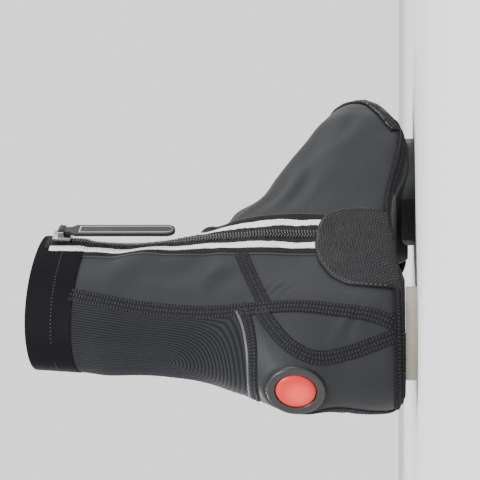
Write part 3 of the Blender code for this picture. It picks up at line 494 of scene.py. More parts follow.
seam_lines = {name: smooth_path(smooth_form, places) for name, places in SEAMS.items()}
ZIP_KNOTS = np.array(((0.313, 0.228), (0.336, 0.500), (0.334, 0.760), (0.326, 0.984)))


def zip_line(share):
    """X and Z of the zip's middle, from its lower end to the collar."""
    rest = 1.0 - share
    weights = np.array([rest ** 3, 3 * rest ** 2 * share, 3 * rest * share ** 2, share ** 3])
    x, z = weights @ ZIP_KNOTS
    return x * LENGTH + upper_low.x, z * COLLAR


zip_places = [("outer", *zip_line(share)) for share in np.linspace(0.0, 1.0, 9)]
seam_lines["zip"] = smooth_path(smooth_form, zip_places)

PUFF = 0.0009
PUFF_REACH = 0.009
SLACK = 0.0011
normals = outward(form)
sewn = np.concatenate([line[::2] for line in seam_lines.values()])
valley = np.full(form.shape[:2], 1.0)
for start in range(0, len(sewn), 64):
    reach = np.linalg.norm(form[:, :, None, :] - sewn[None, None, start:start + 64, :], axis=3).min(axis=2)
    valley = np.minimum(valley, reach)
free_cloth = np.clip((levels - 1.1) / 0.8, 0.0, 1.0) * np.clip((12.8 - levels) / 0.8, 0.0, 1.0)
puff = PUFF * (1.0 - np.exp(-(valley / PUFF_REACH) ** 2)) - PUFF * 0.4
slack = np.array([[noise.noise(Vector(point) * 38.0) for point in loop] for loop in form]) * SLACK
lift = (fold_lift(form) + puff + slack) * free_cloth[:, None]
form = form + normals * lift[..., None]

# The fabric stretches out to the lamp's ring all round, and stays behind the lens inside it.
ring_low, ring_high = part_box("light_bezel")
LAMP_Y = (ring_low.y + ring_high.y) / 2
LAMP_Z = (ring_low.z + ring_high.z) / 2
RING_RADIUS = 0.0172
RING_SEAT = -0.0026
TENT_REACH = 0.0075
TENT_DEPTH = 0.0024
TENT_MOST = 0.0060
BEHIND_LENS = 0.0046
from_ring = np.hypot(form[..., 1] - LAMP_Y, form[..., 2] - LAMP_Z) - RING_RADIUS
depth = form[..., 0] - ring_low.x
tent = np.clip(depth - TENT_DEPTH, 0.0, TENT_MOST)
tent *= np.exp(-(np.maximum(from_ring, 0.0) / TENT_REACH) ** 1.5)
at_heel = form[..., 0] < HEEL_AXIS
form[..., 0] -= tent * at_heel * (from_ring > RING_SEAT)
form[..., 0] += np.clip(BEHIND_LENS - depth, 0.0, 1.0) * at_heel * (from_ring < RING_SEAT)
normals = outward(form)
cloth = surface_of(form)


def skin(level, lift=0.0):
    """The shoe's finished fabric at any level, moved out by lift."""
    spot = np.interp(level, levels, np.arange(ROWS))
    low = min(int(spot), ROWS - 2)
    t = spot - low
    points = form[low] * (1 - t) + form[low + 1] * t
    return points + (normals[low] * (1 - t) + normals[low + 1] * t) * lift


def outward_piece(name, points, faces, flat=None):
    """A smooth piece with its faces turned outwards; flat is each face corner's place on the cloth."""
    mesh = bpy.data.meshes.new(name)
    mesh.from_pydata(points.reshape(-1, 3).tolist(), [], faces)
    if flat is not None:
        mesh.uv_layers.new(name="cloth").data.foreach_set("uv", flat.ravel().astype(np.float32))
    shape = bmesh.new()
    shape.from_mesh(mesh)
    bmesh.ops.recalc_face_normals(shape, faces=shape.faces)
    shape.to_mesh(mesh)
    shape.free()
    mesh.shade_smooth()
    return new_piece(name, mesh)


def cloth_piece(name, top, bottom, spread, ring=False):
    """A closed sheet between two grids of points; spread is each point's place on the flat cloth."""
    section = np.concatenate([top, bottom[:, ::-1]], axis=1)
    flat = np.concatenate([spread, spread[:, ::-1]], axis=1).reshape(-1, 2)
    rows, around = section.shape[:2]
    last = rows if ring else rows - 1
    i, k = (part.ravel() for part in np.meshgrid(np.arange(last), np.arange(around), indexing="ij"))
    corners = ((i, k), (i, k + 1), (i + 1, k + 1), (i + 1, k))
    faces = np.stack([(a % rows) * around + b % around for a, b in corners], axis=1)
    places = np.stack([a * around + b % around for a, b in corners], axis=1)
    if not ring:
        j = np.arange(around // 2 - 1)
        end = np.stack([j, j + 1, around - 2 - j, around - 1 - j], axis=1)
        ends = [a * around + end for a in (0, rows - 1)]
        faces = np.concatenate([faces, *ends])
        places = np.concatenate([places, *ends])
    piece = outward_piece(name, section, faces.tolist(), flat[places.ravel()])
    piece.data.set_sharp_from_angle(angle=math.radians(55))
    return piece


def spread_of(points, middle, ring=True):
    """Places on the flat cloth, by distance along the band's middle and across it."""
    if ring:
        points = np.concatenate([points, points[:1]])
    spread = np.stack([run_along(points), run_along(points.transpose(1, 0, 2)).T], axis=2)
    spread[..., 0] = spread[:, middle, 0][:, None]
    return spread


COATED = (0.0150, 0.0165, 0.0185)
COATED_DARK = (0.0105, 0.0115, 0.0130)
COATED_PALE = (0.0185, 0.0200, 0.0220)
LINING = (0.006, 0.006, 0.007)

# Fine grain of cloth, shared by every fabric: a slow change of tone and a fast nap.
grain, given, found = new_group("cloth grain", {"Nap Size": 1400.0, "Cloud Size": 26.0}, ["Nap", "Cloud"])
for label, detail in (("Nap", 2.0), ("Cloud", 4.0)):
    speck = add(grain, "TexNoise", Vector=on_piece(grain), Scale=given[label + " Size"], Detail=detail,
                Roughness=0.55)
    grain.links.new(speck.outputs[0], found[label])

coated_look, tree, shader = new_look("coated stretch", COATED, 0.6, Specular_IOR_Level=0.26)
feel = use_group(tree, grain, Nap_Size=1500.0, Cloud_Size=22.0)
paint(tree, shader, feel["Cloud"], COATED_DARK, COATED_PALE)
tree.links.new(ramp(tree, feel["Cloud"], 0.0, 1.0, 0.48, 0.66), shader.inputs["Roughness"])
pulled = add(tree, "Mapping", Vector=on_piece(tree), Scale=(1.0, 1.0, 3.0), Rotation=(0.0, 0.5, 0.0))
tension = add(tree, "TexNoise", Vector=pulled.outputs[0], Scale=70.0, Detail=5.0, Distortion=0.6)
relief = maths(tree, "MULTIPLY_ADD", tension.outputs[0], 1.1, maths(tree, "MULTIPLY", feel["Nap"], 0.35))
bump(tree, shader, relief, 0.00018)

lining_look, tree, shader = new_look("brushed lining", LINING, 0.95, Sheen_Weight=0.15)
bump(tree, shader, use_group(tree, grain, Nap_Size=700.0)["Nap"], 0.0004)

in_upper = (levels > 0.93) & (levels < CUFF_LEVEL + 0.06)
outside = form[in_upper].transpose(1, 0, 2)
inside = outside - normals[in_upper].transpose(1, 0, 2) * WALL
high = outside.shape[1]
spread = np.stack(np.broadcast_arrays(np.arange(AROUND + 1)[:, None] / AROUND, levels[in_upper]), axis=2)
upper = cloth_piece("upper_shell", outside, inside, spread, ring=True)
place(upper, coated_look, "coated_stretch", "upper")
upper.data.materials.append(lining_look)
for face in upper.data.polygons:
    if high <= face.index % (2 * high) < 2 * high - 1:
        face.material_index = 1


# Ribbed panel. A softer knit with raised ribs at the back of the shaft; the ribs run down beside
# the side seams and turn round above the lamp, one inside the other. It is sewn in, edge to edge.
RIBS = 24
RIB_HEIGHT = 0.00045
RIB_BLACK = (0.0035, 0.0038, 0.0055)
RIB_RIDGE_HIGHLIGHT = (0.0150, 0.0158, 0.0200)
RIB_STEPS = 200
ARC_TOP = 0.112
DEGREE = np.array([0.0006, 1.0, 1.0])


def round_the_heel(line, above=0.0):
    """A line's points as an angle round the heel, negative to the outer side, and a height."""
    return [(math.degrees(math.atan2(y, HEEL_AXIS - x)), z, 0.0) for x, y, z in line if z > above]


outer_rib = np.array(round_the_heel(seam_lines["side_outer"], ARC_TOP)[::4]
                     + round_the_heel(seam_lines["arc"])[3:-3:3]
                     + round_the_heel(seam_lines["side_inner"][::-1], ARC_TOP)[::4])
outer_rib = even_points(outer_rib * DEGREE, RIB_STEPS) / DEGREE
round_rib = outer_rib.copy()
for _ in range(400):
    round_rib[1:-1] = (round_rib[:-2] + 2 * round_rib[1:-1] + round_rib[2:]) / 4
middle_z = np.interp(outer_rib[:, 1], (0.092, 0.2090), (0.150, 0.2090))
rib_shares = np.linspace(0.0, 1.0, RIBS * 6 + 1)
rib_top = np.zeros((RIB_STEPS + 1, len(rib_shares), 3))
rib_low = np.zeros_like(rib_top)
for i in range(RIB_STEPS + 1):
    for j, share in enumerate(rib_shares):
        angle, z = outer_rib[i, :2] + (round_rib[i, :2] - outer_rib[i, :2]) * min(1.0, share * 5)
        spot = on_surface(cloth, "back", angle * (1 - share), z * (1 - share) + middle_z[i] * share)
        out = cloth.find_nearest(spot)[1]
        out = out if out.dot(spot - Vector((HEEL_AXIS, 0, spot.z))) > 0 else -out
        rib_top[i, j] = spot + out * (0.0002 + RIB_HEIGHT * abs(math.sin(math.pi * share * RIBS)) ** 0.8)
        rib_low[i, j] = spot - out * 0.0004
rib_steps = np.arange(RIB_STEPS + 1)[:, None] * 0.001
rib_spread = np.stack(np.broadcast_arrays(rib_steps, rib_shares * RIBS), axis=2)


def on_cloth(tree):
    """The flat cloth's two coordinates."""
    return axes_of(tree, add(tree, "UVMap", {"uv_map": "cloth"}).outputs[0])


rib_look, tree, shader = new_look("ribbed knit", RIB_BLACK, 0.85, Sheen_Weight=0.08, Specular_IOR_Level=0.2)
# The ribs' crests are painted lighter than their grooves: a painted highlight along the ridges.
ridge_highlight = maths(tree, "ABSOLUTE", wave(tree, on_cloth(tree)["Y"], 2.0))
paint(tree, shader, maths(tree, "POWER", ridge_highlight, 2.0), RIB_BLACK, RIB_RIDGE_HIGHLIGHT)
bump(tree, shader, use_group(tree, grain, Nap_Size=1800.0)["Nap"], 0.0002)
rib_panel = cloth_piece("rib_panel", rib_top, rib_low, rib_spread)
place(rib_panel, rib_look, "smooth_stretch")


# Seam tapes. Narrow knitted tape, coverstitched flat over every join of the panels with
# three rows of thread; nearly black, with a lattice of loops on its face.
TAPE_THICK = 0.0006
TAPE_BLACK = (0.0025, 0.0025, 0.0032)
TAPE_THREAD = (0.0210, 0.0212, 0.0265)
TAPE_WIDTHS = {"side_outer": 0.0088, "side_inner": 0.0088, "cross_outer": 0.0080, "arc": 0.0058,
               "front": 0.0060, "u_outer": 0.0082, "u_inner": 0.0082, "cap_edge": 0.0085, "rand": 0.0078}
TAPE_LIFTS = {"cap_edge": 0.0009, "rand": 0.0009}

stitch, given, found = new_group("coverstitch", {"Pitch": 0.0013, "Rows": 0.0022}, ["Height", "Thread"])
flat = on_cloth(stitch)
u = maths(stitch, "DIVIDE", flat["X"], given["Pitch"])
v = maths(stitch, "DIVIDE", flat["Y"], given["Rows"])
slants = [maths(stitch, "ABSOLUTE", wave(stitch, maths(stitch, slant, u, v), 2.0))
          for slant in ("ADD", "SUBTRACT")]
slants = [maths(stitch, "POWER", slanted, 3.0) for slanted in slants]
wander = add(stitch, "TexNoise", Vector=on_piece(stitch), Scale=420.0, Detail=2.0).outputs[0]
uneven = maths(stitch, "MULTIPLY", maths(stitch, "MAXIMUM", *slants), maths(stitch, "ADD", wander, 0.35))
stitch.links.new(uneven, found["Height"])
stitch.links.new(maths(stitch, "POWER", uneven, 1.6), found["Thread"])


def tape_look(name, low, high, pitch, rows, depth=0.0005):
    look, tree, shader = new_look(name, low, 0.8, Specular_IOR_Level=0.2)
    loops = use_group(tree, stitch, Pitch=pitch, Rows=rows)
    paint(tree, shader, loops["Thread"], low, high)
    bump(tree, shader, loops["Height"], depth)
    return look


normals_flat = normals.reshape(-1, 3)
grid_points = KDTree(len(normals_flat))
for index, point in enumerate(form.reshape(-1, 3)):
    grid_points.insert(Vector(point), index)
grid_points.balance()


def cloth_normal(point):
    """Smooth outward direction of the fabric at a point, from the nearest points of its grid."""
    total = sum(normals_flat[index] / (distance + 0.0005)
                for _, index, distance in grid_points.find_n(Vector(point), 4))
    return Vector(total).normalized()


def footing(point, way):
    """The fabric's nearest point, its outward direction, and the direction across a line there."""
    spot = cloth.find_nearest(Vector(point))[0]
    out = cloth_normal(spot)
    return spot, out, out.cross(Vector(way)).normalized()


def walk(point, sideways, distance):
    """A point of the fabric some way sideways from another."""
    spot = Vector(point)
    for _ in range(3):
        spot = cloth.find_nearest(spot + sideways * (distance / 3))[0]
    return spot


def ribbon(name, line, width, thick, shift=0.0, columns=9, lift=0.0001, edge_wave=None, extra=None):
    """A flat tape on the fabric along a line, shifted sideways; extra lifts each of its points."""
    line = np.array([cloth.find_nearest(Vector(point))[0] for point in line])
    travelled = run_along(line)
    sheets = np.zeros((2, len(line), columns, 3))
    spread = np.zeros((len(line), columns, 2))
    for i, way in enumerate(np.gradient(line, axis=0)):
        point, _, sideways = footing(line[i], way)
        for j, share in enumerate(np.linspace(-1.0, 1.0, columns)):
            reach = shift + share * width / 2 + (edge_wave(travelled[i], share) if edge_wave else 0.0)
            spot = walk(point, sideways, reach)
            out = cloth_normal(spot)
            for sheet, rise in zip(sheets, (thick * (1.0 - 0.75 * abs(share) ** 6), -0.0004)):
                point_on = spot + out * (lift + rise)
                sheet[i, j] = point_on + cloth_normal(point_on) * (extra(point_on) if extra else 0.0)
            spread[i, j] = (travelled[i], reach)
    return cloth_piece(name, *sheets, spread)


def jagged(travelled, share):
    """A tape's cut edge follows its loops unevenly."""
    return share * 0.00022 * noise.noise(Vector((travelled * 700, share * 3, 1.7)))


def tapering(travelled, share):
    """The ankle dart's tape narrows to its point."""
    return -share * 0.0024 * min(1.0, max(0.0, (travelled - 0.012) / 0.022))


seam_tape_look = tape_look("seam tape", TAPE_BLACK, TAPE_THREAD, 0.0014, 0.0024)
for name, width in TAPE_WIDTHS.items():
    tape = ribbon("tape_" + name, seam_lines[name], width, TAPE_THICK, lift=TAPE_LIFTS.get(name, 0.0002),
                  edge_wave=tapering if name == "front" else jagged)
    place(tape, seam_tape_look, "elastic_tape")


# Piping and thread. A thin grey piping edges the ribbed panel's lower seam, and rows of black
# chain stitch run down every seam tape; all are polyester.
THREAD_GREY = (0.045, 0.047, 0.052)
THREAD_BLACK = (0.0135, 0.0135, 0.0175)
PIPING_GREY = (0.060, 0.062, 0.066)
PALE_GREY = (0.20, 0.20, 0.215)
PIPING_AT = -0.0037
SIDE_ROWS = (-0.0030, 0.0, 0.0030)
BROAD_ROWS = (-0.0026, 0.0, 0.0026)
CHAIN_ROWS = {"side_outer": SIDE_ROWS, "side_inner": SIDE_ROWS, "cross_outer": BROAD_ROWS,
              "arc": (-0.0014, 0.0014), "front": (0.0,), "u_outer": BROAD_ROWS, "u_inner": BROAD_ROWS,
              "cap_edge": (-0.0012, 0.0024), "rand": (-0.0022, 0.0004)}


def beads(name, rows, size, segments=6, rings=4):
    """Rows of small lumps in one mesh: size is length along the run, width across it and height."""
    shape = bmesh.new()
    bmesh.ops.create_uvsphere(shape, u_segments=segments, v_segments=rings, radius=0.5)
    shape.verts.index_update()
    unit = np.array([vertex.co.yxz for vertex in shape.verts]) * size
    faces = [[vertex.index for vertex in face.verts] for face in shape.faces]
    shape.free()
    spots, runs, outs = (np.array([item for row in rows for item in row[part]], float) for part in range(3))
    runs /= np.linalg.norm(runs, axis=1)[:, None]
    across = np.cross(outs, runs)
    across /= np.linalg.norm(across, axis=1)[:, None]
    axes = np.stack([runs, across, np.cross(runs, across)], axis=1)
    points = spots[:, None, :] + np.einsum("pk,nkd->npd", unit, axes)
    every = [[n * len(unit) + corner for corner in face] for n in range(len(spots)) for face in faces]
    return outward_piece(name, points, every)


def stitch_row(line, shift, pitch, lift, slant=0.0):
    """Where a row of stitches goes: places, directions and outward directions along a shifted line."""
    line = even_points(line, max(2, int(run_along(line)[-1] / pitch)))
    spots, runs, outs = [], [], []
    for point, way in zip(line, np.gradient(line, axis=0)):
        spot, out, sideways = footing(point, way)
        if shift:
            spot = walk(spot, sideways, shift)
        out = cloth_normal(spot)
        spots.append(spot + out * lift)
        runs.append(Vector(way).normalized() + sideways * slant)
        outs.append(out)
    return spots, runs, outs


def chain(line, shifts, pitch, lift):
    """Rows of chain stitch: each stitch is a V of two slanted threads."""
    return [stitch_row(line, shift + side * 0.00042, pitch, lift, 0.45 * side)
            for shift in shifts for side in (-1, 1)]


thread_look = new_look("grey thread", THREAD_GREY, 0.7, Sheen_Weight=0.1)[0]
black_thread_look = new_look("black thread", THREAD_BLACK, 0.55, Specular_IOR_Level=0.4)[0]
pale_look = new_look("pale thread", PALE_GREY, 0.7, Sheen_Weight=0.1)[0]
piping_look = new_look("piping", PIPING_GREY, 0.5)[0]
piping = ribbon("piping", seam_lines["arc"][3:-3], 0.0019, 0.0009, shift=PIPING_AT, columns=7)
place(piping, piping_look, "elastic_tape")
chained = []
for name, shifts in CHAIN_ROWS.items():
    on_tape = TAPE_THICK + TAPE_LIFTS.get(name, 0.0002)
    chained += chain(seam_lines[name][2:-2], shifts, 0.0019, on_tape)
place(beads("seam_stitches", chained, (0.0017, 0.0007, 0.0006)), black_thread_look, "elastic_tape")


# Toe cap and rand. A tough purple-grey weave flecked with pale dots, bonded over the toe
# and drawn back along the sole on both sides; a stitched tape covers its rear edge.
CAP_LOW = (0.824, 0.138)
CAP_TOP = (0.932, 0.262)
CAP_SLOPE = (CAP_TOP[0] - CAP_LOW[0]) / (CAP_TOP[1] - CAP_LOW[1])
RAND_INNER = (0.655, 0.075)
RAND_OUTER = (0.740, 0.090)
CAP_THICK = 0.0009
CAP_ROWS = 46
WEAVE = (0.026, 0.024, 0.032)
WEAVE_DARK = (0.0060, 0.0055, 0.0080)
FLECK = (0.40, 0.38, 0.43)
FLECK_PITCH = 0.0019

cap_limit = np.zeros(AROUND)
plain_x = (form[..., 0] - upper_low.x) / LENGTH
plain_z = form[..., 2] / COLLAR
for k in range(AROUND):
    tail_x, tail_z = RAND_INNER if k > AROUND // 2 else RAND_OUTER
    tail_slope = (CAP_LOW[1] - tail_z) / (CAP_LOW[0] - tail_x)
    for i in np.flatnonzero((levels > 0.96) & (levels < 7.0)):
        x, z = plain_x[i, k], plain_z[i, k]
        in_front = x > CAP_LOW[0] + (z - CAP_LOW[1]) * CAP_SLOPE
        in_rand = x > tail_x and z < tail_z + (x - tail_x) * tail_slope
        if not (in_front or in_rand):
            break
        cap_limit[k] = levels[i]
cap_columns = np.flatnonzero(cap_limit > 1.02)
smooth_limit = np.convolve(np.pad(cap_limit[cap_columns], 3, mode="edge"), np.ones(7) / 7, mode="valid")
cap_top, cap_low = (np.array([[skin(level, rise)[k] for level in np.linspace(0.96, limit, CAP_ROWS)]
                              for k, limit in zip(cap_columns, smooth_limit)])
                    for rise in (CAP_THICK, -0.0003))

cap_look, tree, shader = new_look("flecked weave", WEAVE, 0.75, Specular_IOR_Level=0.3)
flat = on_cloth(tree)
u = maths(tree, "DIVIDE", flat["X"], FLECK_PITCH)
v = maths(tree, "DIVIDE", flat["Y"], FLECK_PITCH)
weave = use_group(tree, bricks, Across=u, Along=v)
wide = maths(tree, "MULTIPLY", maths(tree, "POWER", weave["Across"], 2.0), 1.2)
radius = maths(tree, "SQRT", maths(tree, "MULTIPLY_ADD", weave["Along"], weave["Along"], wide))
some = ramp(tree, weave["Chance"], 0.0, 0.8, 0.25, 1.0)
fleck = maths(tree, "MULTIPLY", ramp(tree, radius, 0.30, 0.16), some)
twill = maths(tree, "MULTIPLY", *(wave(tree, maths(tree, slant, u, v), 0.5) for slant in ("ADD", "SUBTRACT")))
feel = use_group(tree, grain, Nap_Size=1100.0, Cloud_Size=40.0)
ground = blend_colour(tree, maths(tree, "MULTIPLY_ADD", twill, 0.25, feel["Cloud"]), WEAVE_DARK, WEAVE)
paint(tree, shader, maths(tree, "MULTIPLY", fleck, 0.8), ground, FLECK)
bump(tree, shader, maths(tree, "MULTIPLY_ADD", twill, 0.4, fleck), 0.00025)
cap = cloth_piece("toe_weave", cap_top, cap_low, spread_of(cap_top, CAP_ROWS // 3, ring=False))
place(cap, cap_look, "tough_weave", "toe_cap")
draw = np.random.default_rng(7)
speckle = []
for name, side in (("cap_edge", -1), ("rand", 1)):
    for shift in (0.0024, 0.0032, 0.0038):
        row = stitch_row(seam_lines[name][2:-2], side * shift, 0.0013, 0.0016)
        keep = np.flatnonzero(draw.random(len(row[0])) < 0.34)
        speckle.append([[part[n] for n in keep] for part in row])
place(beads("cap_stitches", speckle, (0.0007, 0.0006, 0.0005)), pale_look, "tough_weave")


# Cuff. A soft smooth stretch band folded double at the collar, with a row of fine stitches
# above its lower edge, which overlaps the shaft.
CUFF_BLACK = (0.0030, 0.0030, 0.0040)
CUFF_WORN = (0.0065, 0.0065, 0.0085)
CUFF_THICK = 0.0022
CUFF_FOLD = 0.42 * CUFF_THICK
CUFF_LIFT = 0.0010
CUFF_ROWS = 44
cuff_levels = np.linspace(CUFF_LEVEL - 0.05, TOP_LEVEL, CUFF_ROWS)
outer_wall = [skin(level, CUFF_LIFT * min(1.0, 0.85 + 6 * i / CUFF_ROWS))
              for i, level in enumerate(cuff_levels)]
inner_wall = [skin(level, CUFF_LIFT - CUFF_THICK) for level in cuff_levels]
rim = outer_wall[-1]
rim_out = rim - skin(TOP_LEVEL, -1.0)
rim_out /= np.linalg.norm(rim_out, axis=1)[:, None]
fold = [rim - rim_out * CUFF_THICK / 2 * (1 - math.cos(turn)) + np.array([0, 0, CUFF_FOLD * math.sin(turn)])
        for turn in np.linspace(0.0, math.pi, 13)]
cuff_top = np.array(outer_wall[:-1] + fold[:6]).transpose(1, 0, 2)
cuff_low = np.array(inner_wall[:-1] + fold[:6:-1]).transpose(1, 0, 2)
cuff_look, tree, shader = new_look("smooth stretch", CUFF_BLACK, 0.75, Specular_IOR_Level=0.08)
feel = use_group(tree, grain, Nap_Size=2000.0, Cloud_Size=45.0)
paint(tree, shader, feel["Cloud"], CUFF_BLACK, CUFF_WORN)
bump(tree, shader, maths(tree, "MULTIPLY_ADD", feel["Cloud"], 3.0, feel["Nap"]), 0.00012)
cuff = cloth_piece("cuff_band", cuff_top, cuff_low, spread_of(cuff_top, 8), ring=True)
place(cuff, cuff_look, "smooth_stretch", "cuff")
cuff_row = stitch_row(skin(CUFF_LEVEL + 0.40)[8:-8], 0.0, 0.0022, CUFF_LIFT)
place(beads("cuff_stitches", [cuff_row], (0.0010, 0.0006, 0.0004)), thread_look, "smooth_stretch")


# Sole binding. A broad elastic tape folded over the rim of the sole opening and chain-stitched;
# it holds the fabric to the edge of the sole.
BINDING_BLACK = (0.0025, 0.0025, 0.0032)
BINDING_THREAD = (0.0210, 0.0210, 0.0260)
BINDING_ROWS = 18
binding_levels = np.linspace(0.0, 1.03, BINDING_ROWS)
crown = [0.0006 + 0.0011 * math.sin(math.pi * share) ** 0.5 for share in np.linspace(0.0, 1.0, BINDING_ROWS)]
bind_top = np.array([skin(level, rise) for level, rise in zip(binding_levels, crown)]).transpose(1, 0, 2)
bind_low = np.array([skin(level, -0.0012) for level in binding_levels]).transpose(1, 0, 2)
binding_look = tape_look("binding tape", BINDING_BLACK, BINDING_THREAD, 0.0019, 0.0026, 0.0007)
binding = cloth_piece("binding_tape", bind_top, bind_low, spread_of(bind_top, 8), ring=True)
place(binding, binding_look, "elastic_tape", "sole_binding")
chained = []
for level, rise in ((0.22, 0.0017), (0.52, 0.0019), (0.82, 0.0017)):
    loop = skin(level)
    chained += chain(np.concatenate([loop, loop[:1]]), (0.0,), 0.0022, rise)
place(beads("binding_stitches", chained, (0.0020, 0.0008, 0.0006)), black_thread_look, "elastic_tape")


# Arch strap. A band of black ribbed elastic under the waist of the sole, sewn to the binding
# at both ends; it keeps the cover from riding up.
CORD_PITCH = 0.0016
STRAP_EDGE = 0.0004
strap_look, tree, shader = new_look("ribbed elastic", (0.010, 0.010, 0.011), 0.8, Sheen_Weight=0.2)
bump(tree, shader, wave(tree, axes_of(tree)["X"], CORD_PITCH), 0.0004)
rounded_piece("arch_strap", "strap", STRAP_EDGE, strap_look, "ribbed_elastic")


# Zip. A nylon coil between two woven tapes, let into a slit of the outer side; puckered dark
# stretch beside the coil, then a white wavy stripe and a woven guard band on each side.
GUSSET_HALF = 0.0100
STRIPE_AT = 0.0106
STRIPE_WIDTH = 0.0052
STRIPE_STEP = 0.0021
GUARD_AT = 0.0160
GUARD_WIDTH = 0.0052
WHITE = (0.88, 0.88, 0.87)
WHITE_SHADED = (0.52, 0.53, 0.53)
GUSSET_BLACK = (0.0045, 0.0045, 0.0055)
GUARD_BLACK = (0.0040, 0.0040, 0.0050)
GUARD_THREAD = (0.0190, 0.0195, 0.0230)
TOOTH_PITCH = 0.0018

zip_run = even_points(seam_lines["zip"], 150)
zip_run = zip_run[zip_run[:, 2] < 0.2325]


def on_cuff(spot):
    """Extra height where the zip runs over the cuff."""
    return CUFF_LIFT * float(np.clip((spot.z - 0.2035) / 0.004, 0.0, 1.0))


def puckered(spot):
    """The gusset's small gathers, on top of the cuff's step."""
    return on_cuff(spot) + 0.0005 * noise.noise(Vector((spot.x * 150, spot.y * 150, spot.z * 520)))


def wavy(side):
    """A stripe's edges swell and shrink with its stitches, differently on each side."""
    def edge(travelled, share):
        slow = noise.noise(Vector((travelled * 75, 0.3 * share, 4.0 * side)))
        quick = noise.noise(Vector((travelled * 260, 2.0 * share, 4.0 * side)))
        stitched = math.sin(travelled * 2 * math.pi / STRIPE_STEP)
        return 0.0011 * slow + share * (0.0005 * quick + 0.00012 * stitched)
    return edge


gusset_look, tree, shader = new_look("puckered stretch", GUSSET_BLACK, 0.7, Specular_IOR_Level=0.25)
bump(tree, shader, use_group(tree, grain, Nap_Size=1600.0)["Nap"], 0.0002)
gusset = ribbon("zip_gusset", zip_run, 2 * GUSSET_HALF, 0.0004, columns=31, lift=0.0003, extra=puckered)
place(gusset, gusset_look, "zip_weave", "zip_tape")

stripe_look, tree, shader = new_look("white stripe", WHITE, 0.7, Sheen_Weight=0.2, Subsurface_Weight=0.05)
steps = maths(tree, "ABSOLUTE", wave(tree, on_cloth(tree)["X"], 2 * STRIPE_STEP))
feel = use_group(tree, grain, Nap_Size=1600.0, Cloud_Size=60.0)
paint(tree, shader, maths(tree, "MULTIPLY", feel["Cloud"], 0.7), WHITE, WHITE_SHADED)
bump(tree, shader, steps, 0.0002)
guard_look = tape_look("guard weave", GUARD_BLACK, GUARD_THREAD, 0.0016, 0.0030, 0.0006)
edge_look = new_look("guard edge", (0.030, 0.031, 0.034), 0.7)[0]
stripe_run = zip_run[(zip_run[:, 2] > 0.0520) & (zip_run[:, 2] < 0.2290)]
guard_run = zip_run[(zip_run[:, 2] > 0.0500) & (zip_run[:, 2] < 0.2090)]
for label, side in (("rear", 1), ("front", -1)):
    stripe = ribbon("zip_stripe_" + label, stripe_run, STRIPE_WIDTH, 0.0006, side * STRIPE_AT, lift=0.0005,
                    edge_wave=wavy(side), extra=on_cuff)
    place(stripe, stripe_look, "zip_weave")
    guard = ribbon("zip_guard_" + label, guard_run, GUARD_WIDTH, 0.0005, side * GUARD_AT, lift=0.0003)
    place(guard, guard_look, "zip_weave")
    edge = ribbon("zip_edge_" + label, guard_run, 0.0007, 0.0006, side * (GUARD_AT + 0.0030), 5, 0.0002)
    place(edge, edge_look, "zip_weave")

coil_run = zip_run[zip_run[:, 2] < 0.2180]
coil_rows = []
for side in (-1, 1):
    line = even_points(coil_run, int(run_along(coil_run)[-1] / TOOTH_PITCH))
    half_way = (line[1:] + line[:-1]) / 2 if side > 0 else line[1:]
    teeth = []
    for point, way in zip(half_way, np.gradient(half_way, axis=0)):
        point, out, across = footing(point, way)
        teeth.append((point + across * side * 0.0017 + out * (0.0010 + on_cuff(point)),
                      across * side + Vector(way).normalized() * 0.32, out))
    coil_rows.append(list(zip(*teeth)))
coil = beads("coil_teeth", coil_rows, (0.0040, 0.0012, 0.0018), segments=8, rings=6)
place(coil, new_look("zip nylon", (0.042, 0.042, 0.046), 0.24)[0], "zip_nylon", "zip_coil")


# Slider. Die-cast zinc, plated bright: two wings, a bridge and a crossbar for the pull.
# It is closed round both rows of teeth and stays near the zip's upper end.
SLIDER_EDGE = 0.0005
slider_look, tree, shader = new_look("plated metal", (0.34, 0.34, 0.34), 0.22, Metallic=1.0)
handled(tree, shader, 300.0, 0.18, 0.42)
rounded_piece("zip_slider", "slider", SLIDER_EDGE, slider_look, "plated_metal", 3)


# Pull tab. Black rubber moulded round the crossbar's eye, with a thin pale line round the
# blade; it swings on the slider.
PULL_EDGE = 0.0006
BORDER_IN = 0.0016
BORDER_TOP = 0.014
BORDER_WIDE = 0.0004
BORDER_RISE = 0.00012
BLADE_THICK = 0.0022
pull_look, tree, shader = new_look("pull rubber", (0.005, 0.005, 0.0055), 0.45)
handled(tree, shader, 120.0, 0.40, 0.62)
rounded_piece("pull_tab", "pull", PULL_EDGE, pull_look, "pull_rubber", 3, "pull")
pull_low, pull_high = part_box("pull_tab")
middle_x = (pull_low.x + pull_high.x) / 2
blade_y = (pull_low.y + pull_high.y) / 2 - BLADE_THICK / 2
half = (pull_high.x - pull_low.x) / 2 - BORDER_IN
low_z = pull_low.z + BORDER_IN
outline = np.array([(-half, pull_high.z - BORDER_TOP), (half, pull_high.z - BORDER_TOP)]
                   + [(half * math.cos(turn), low_z + half - half * math.sin(turn))
                      for turn in np.linspace(0.0, math.pi, 21)])
centre = outline.mean(axis=0)
loops = []
for inset, rise in ((0.0, -0.0002), (0.0, BORDER_RISE), (BORDER_WIDE, BORDER_RISE), (BORDER_WIDE, -0.0002)):
    x, z = (centre + (outline - centre) * (1.0 - inset / np.array([half, (outline[0, 1] - low_z) / 2]))).T
    loops.append(np.stack([middle_x + x, np.full(len(x), blade_y - rise), z], axis=1))
loops = np.array(loops).transpose(1, 0, 2)
border = cloth_piece("pull_border", loops[:, 1:3], loops[:, [0, 3]], spread_of(loops, 1)[:, 1:3], ring=True)
place(border, new_look("pale border", (0.42, 0.43, 0.44), 0.5)[0], "pull_rubber", body="pull")


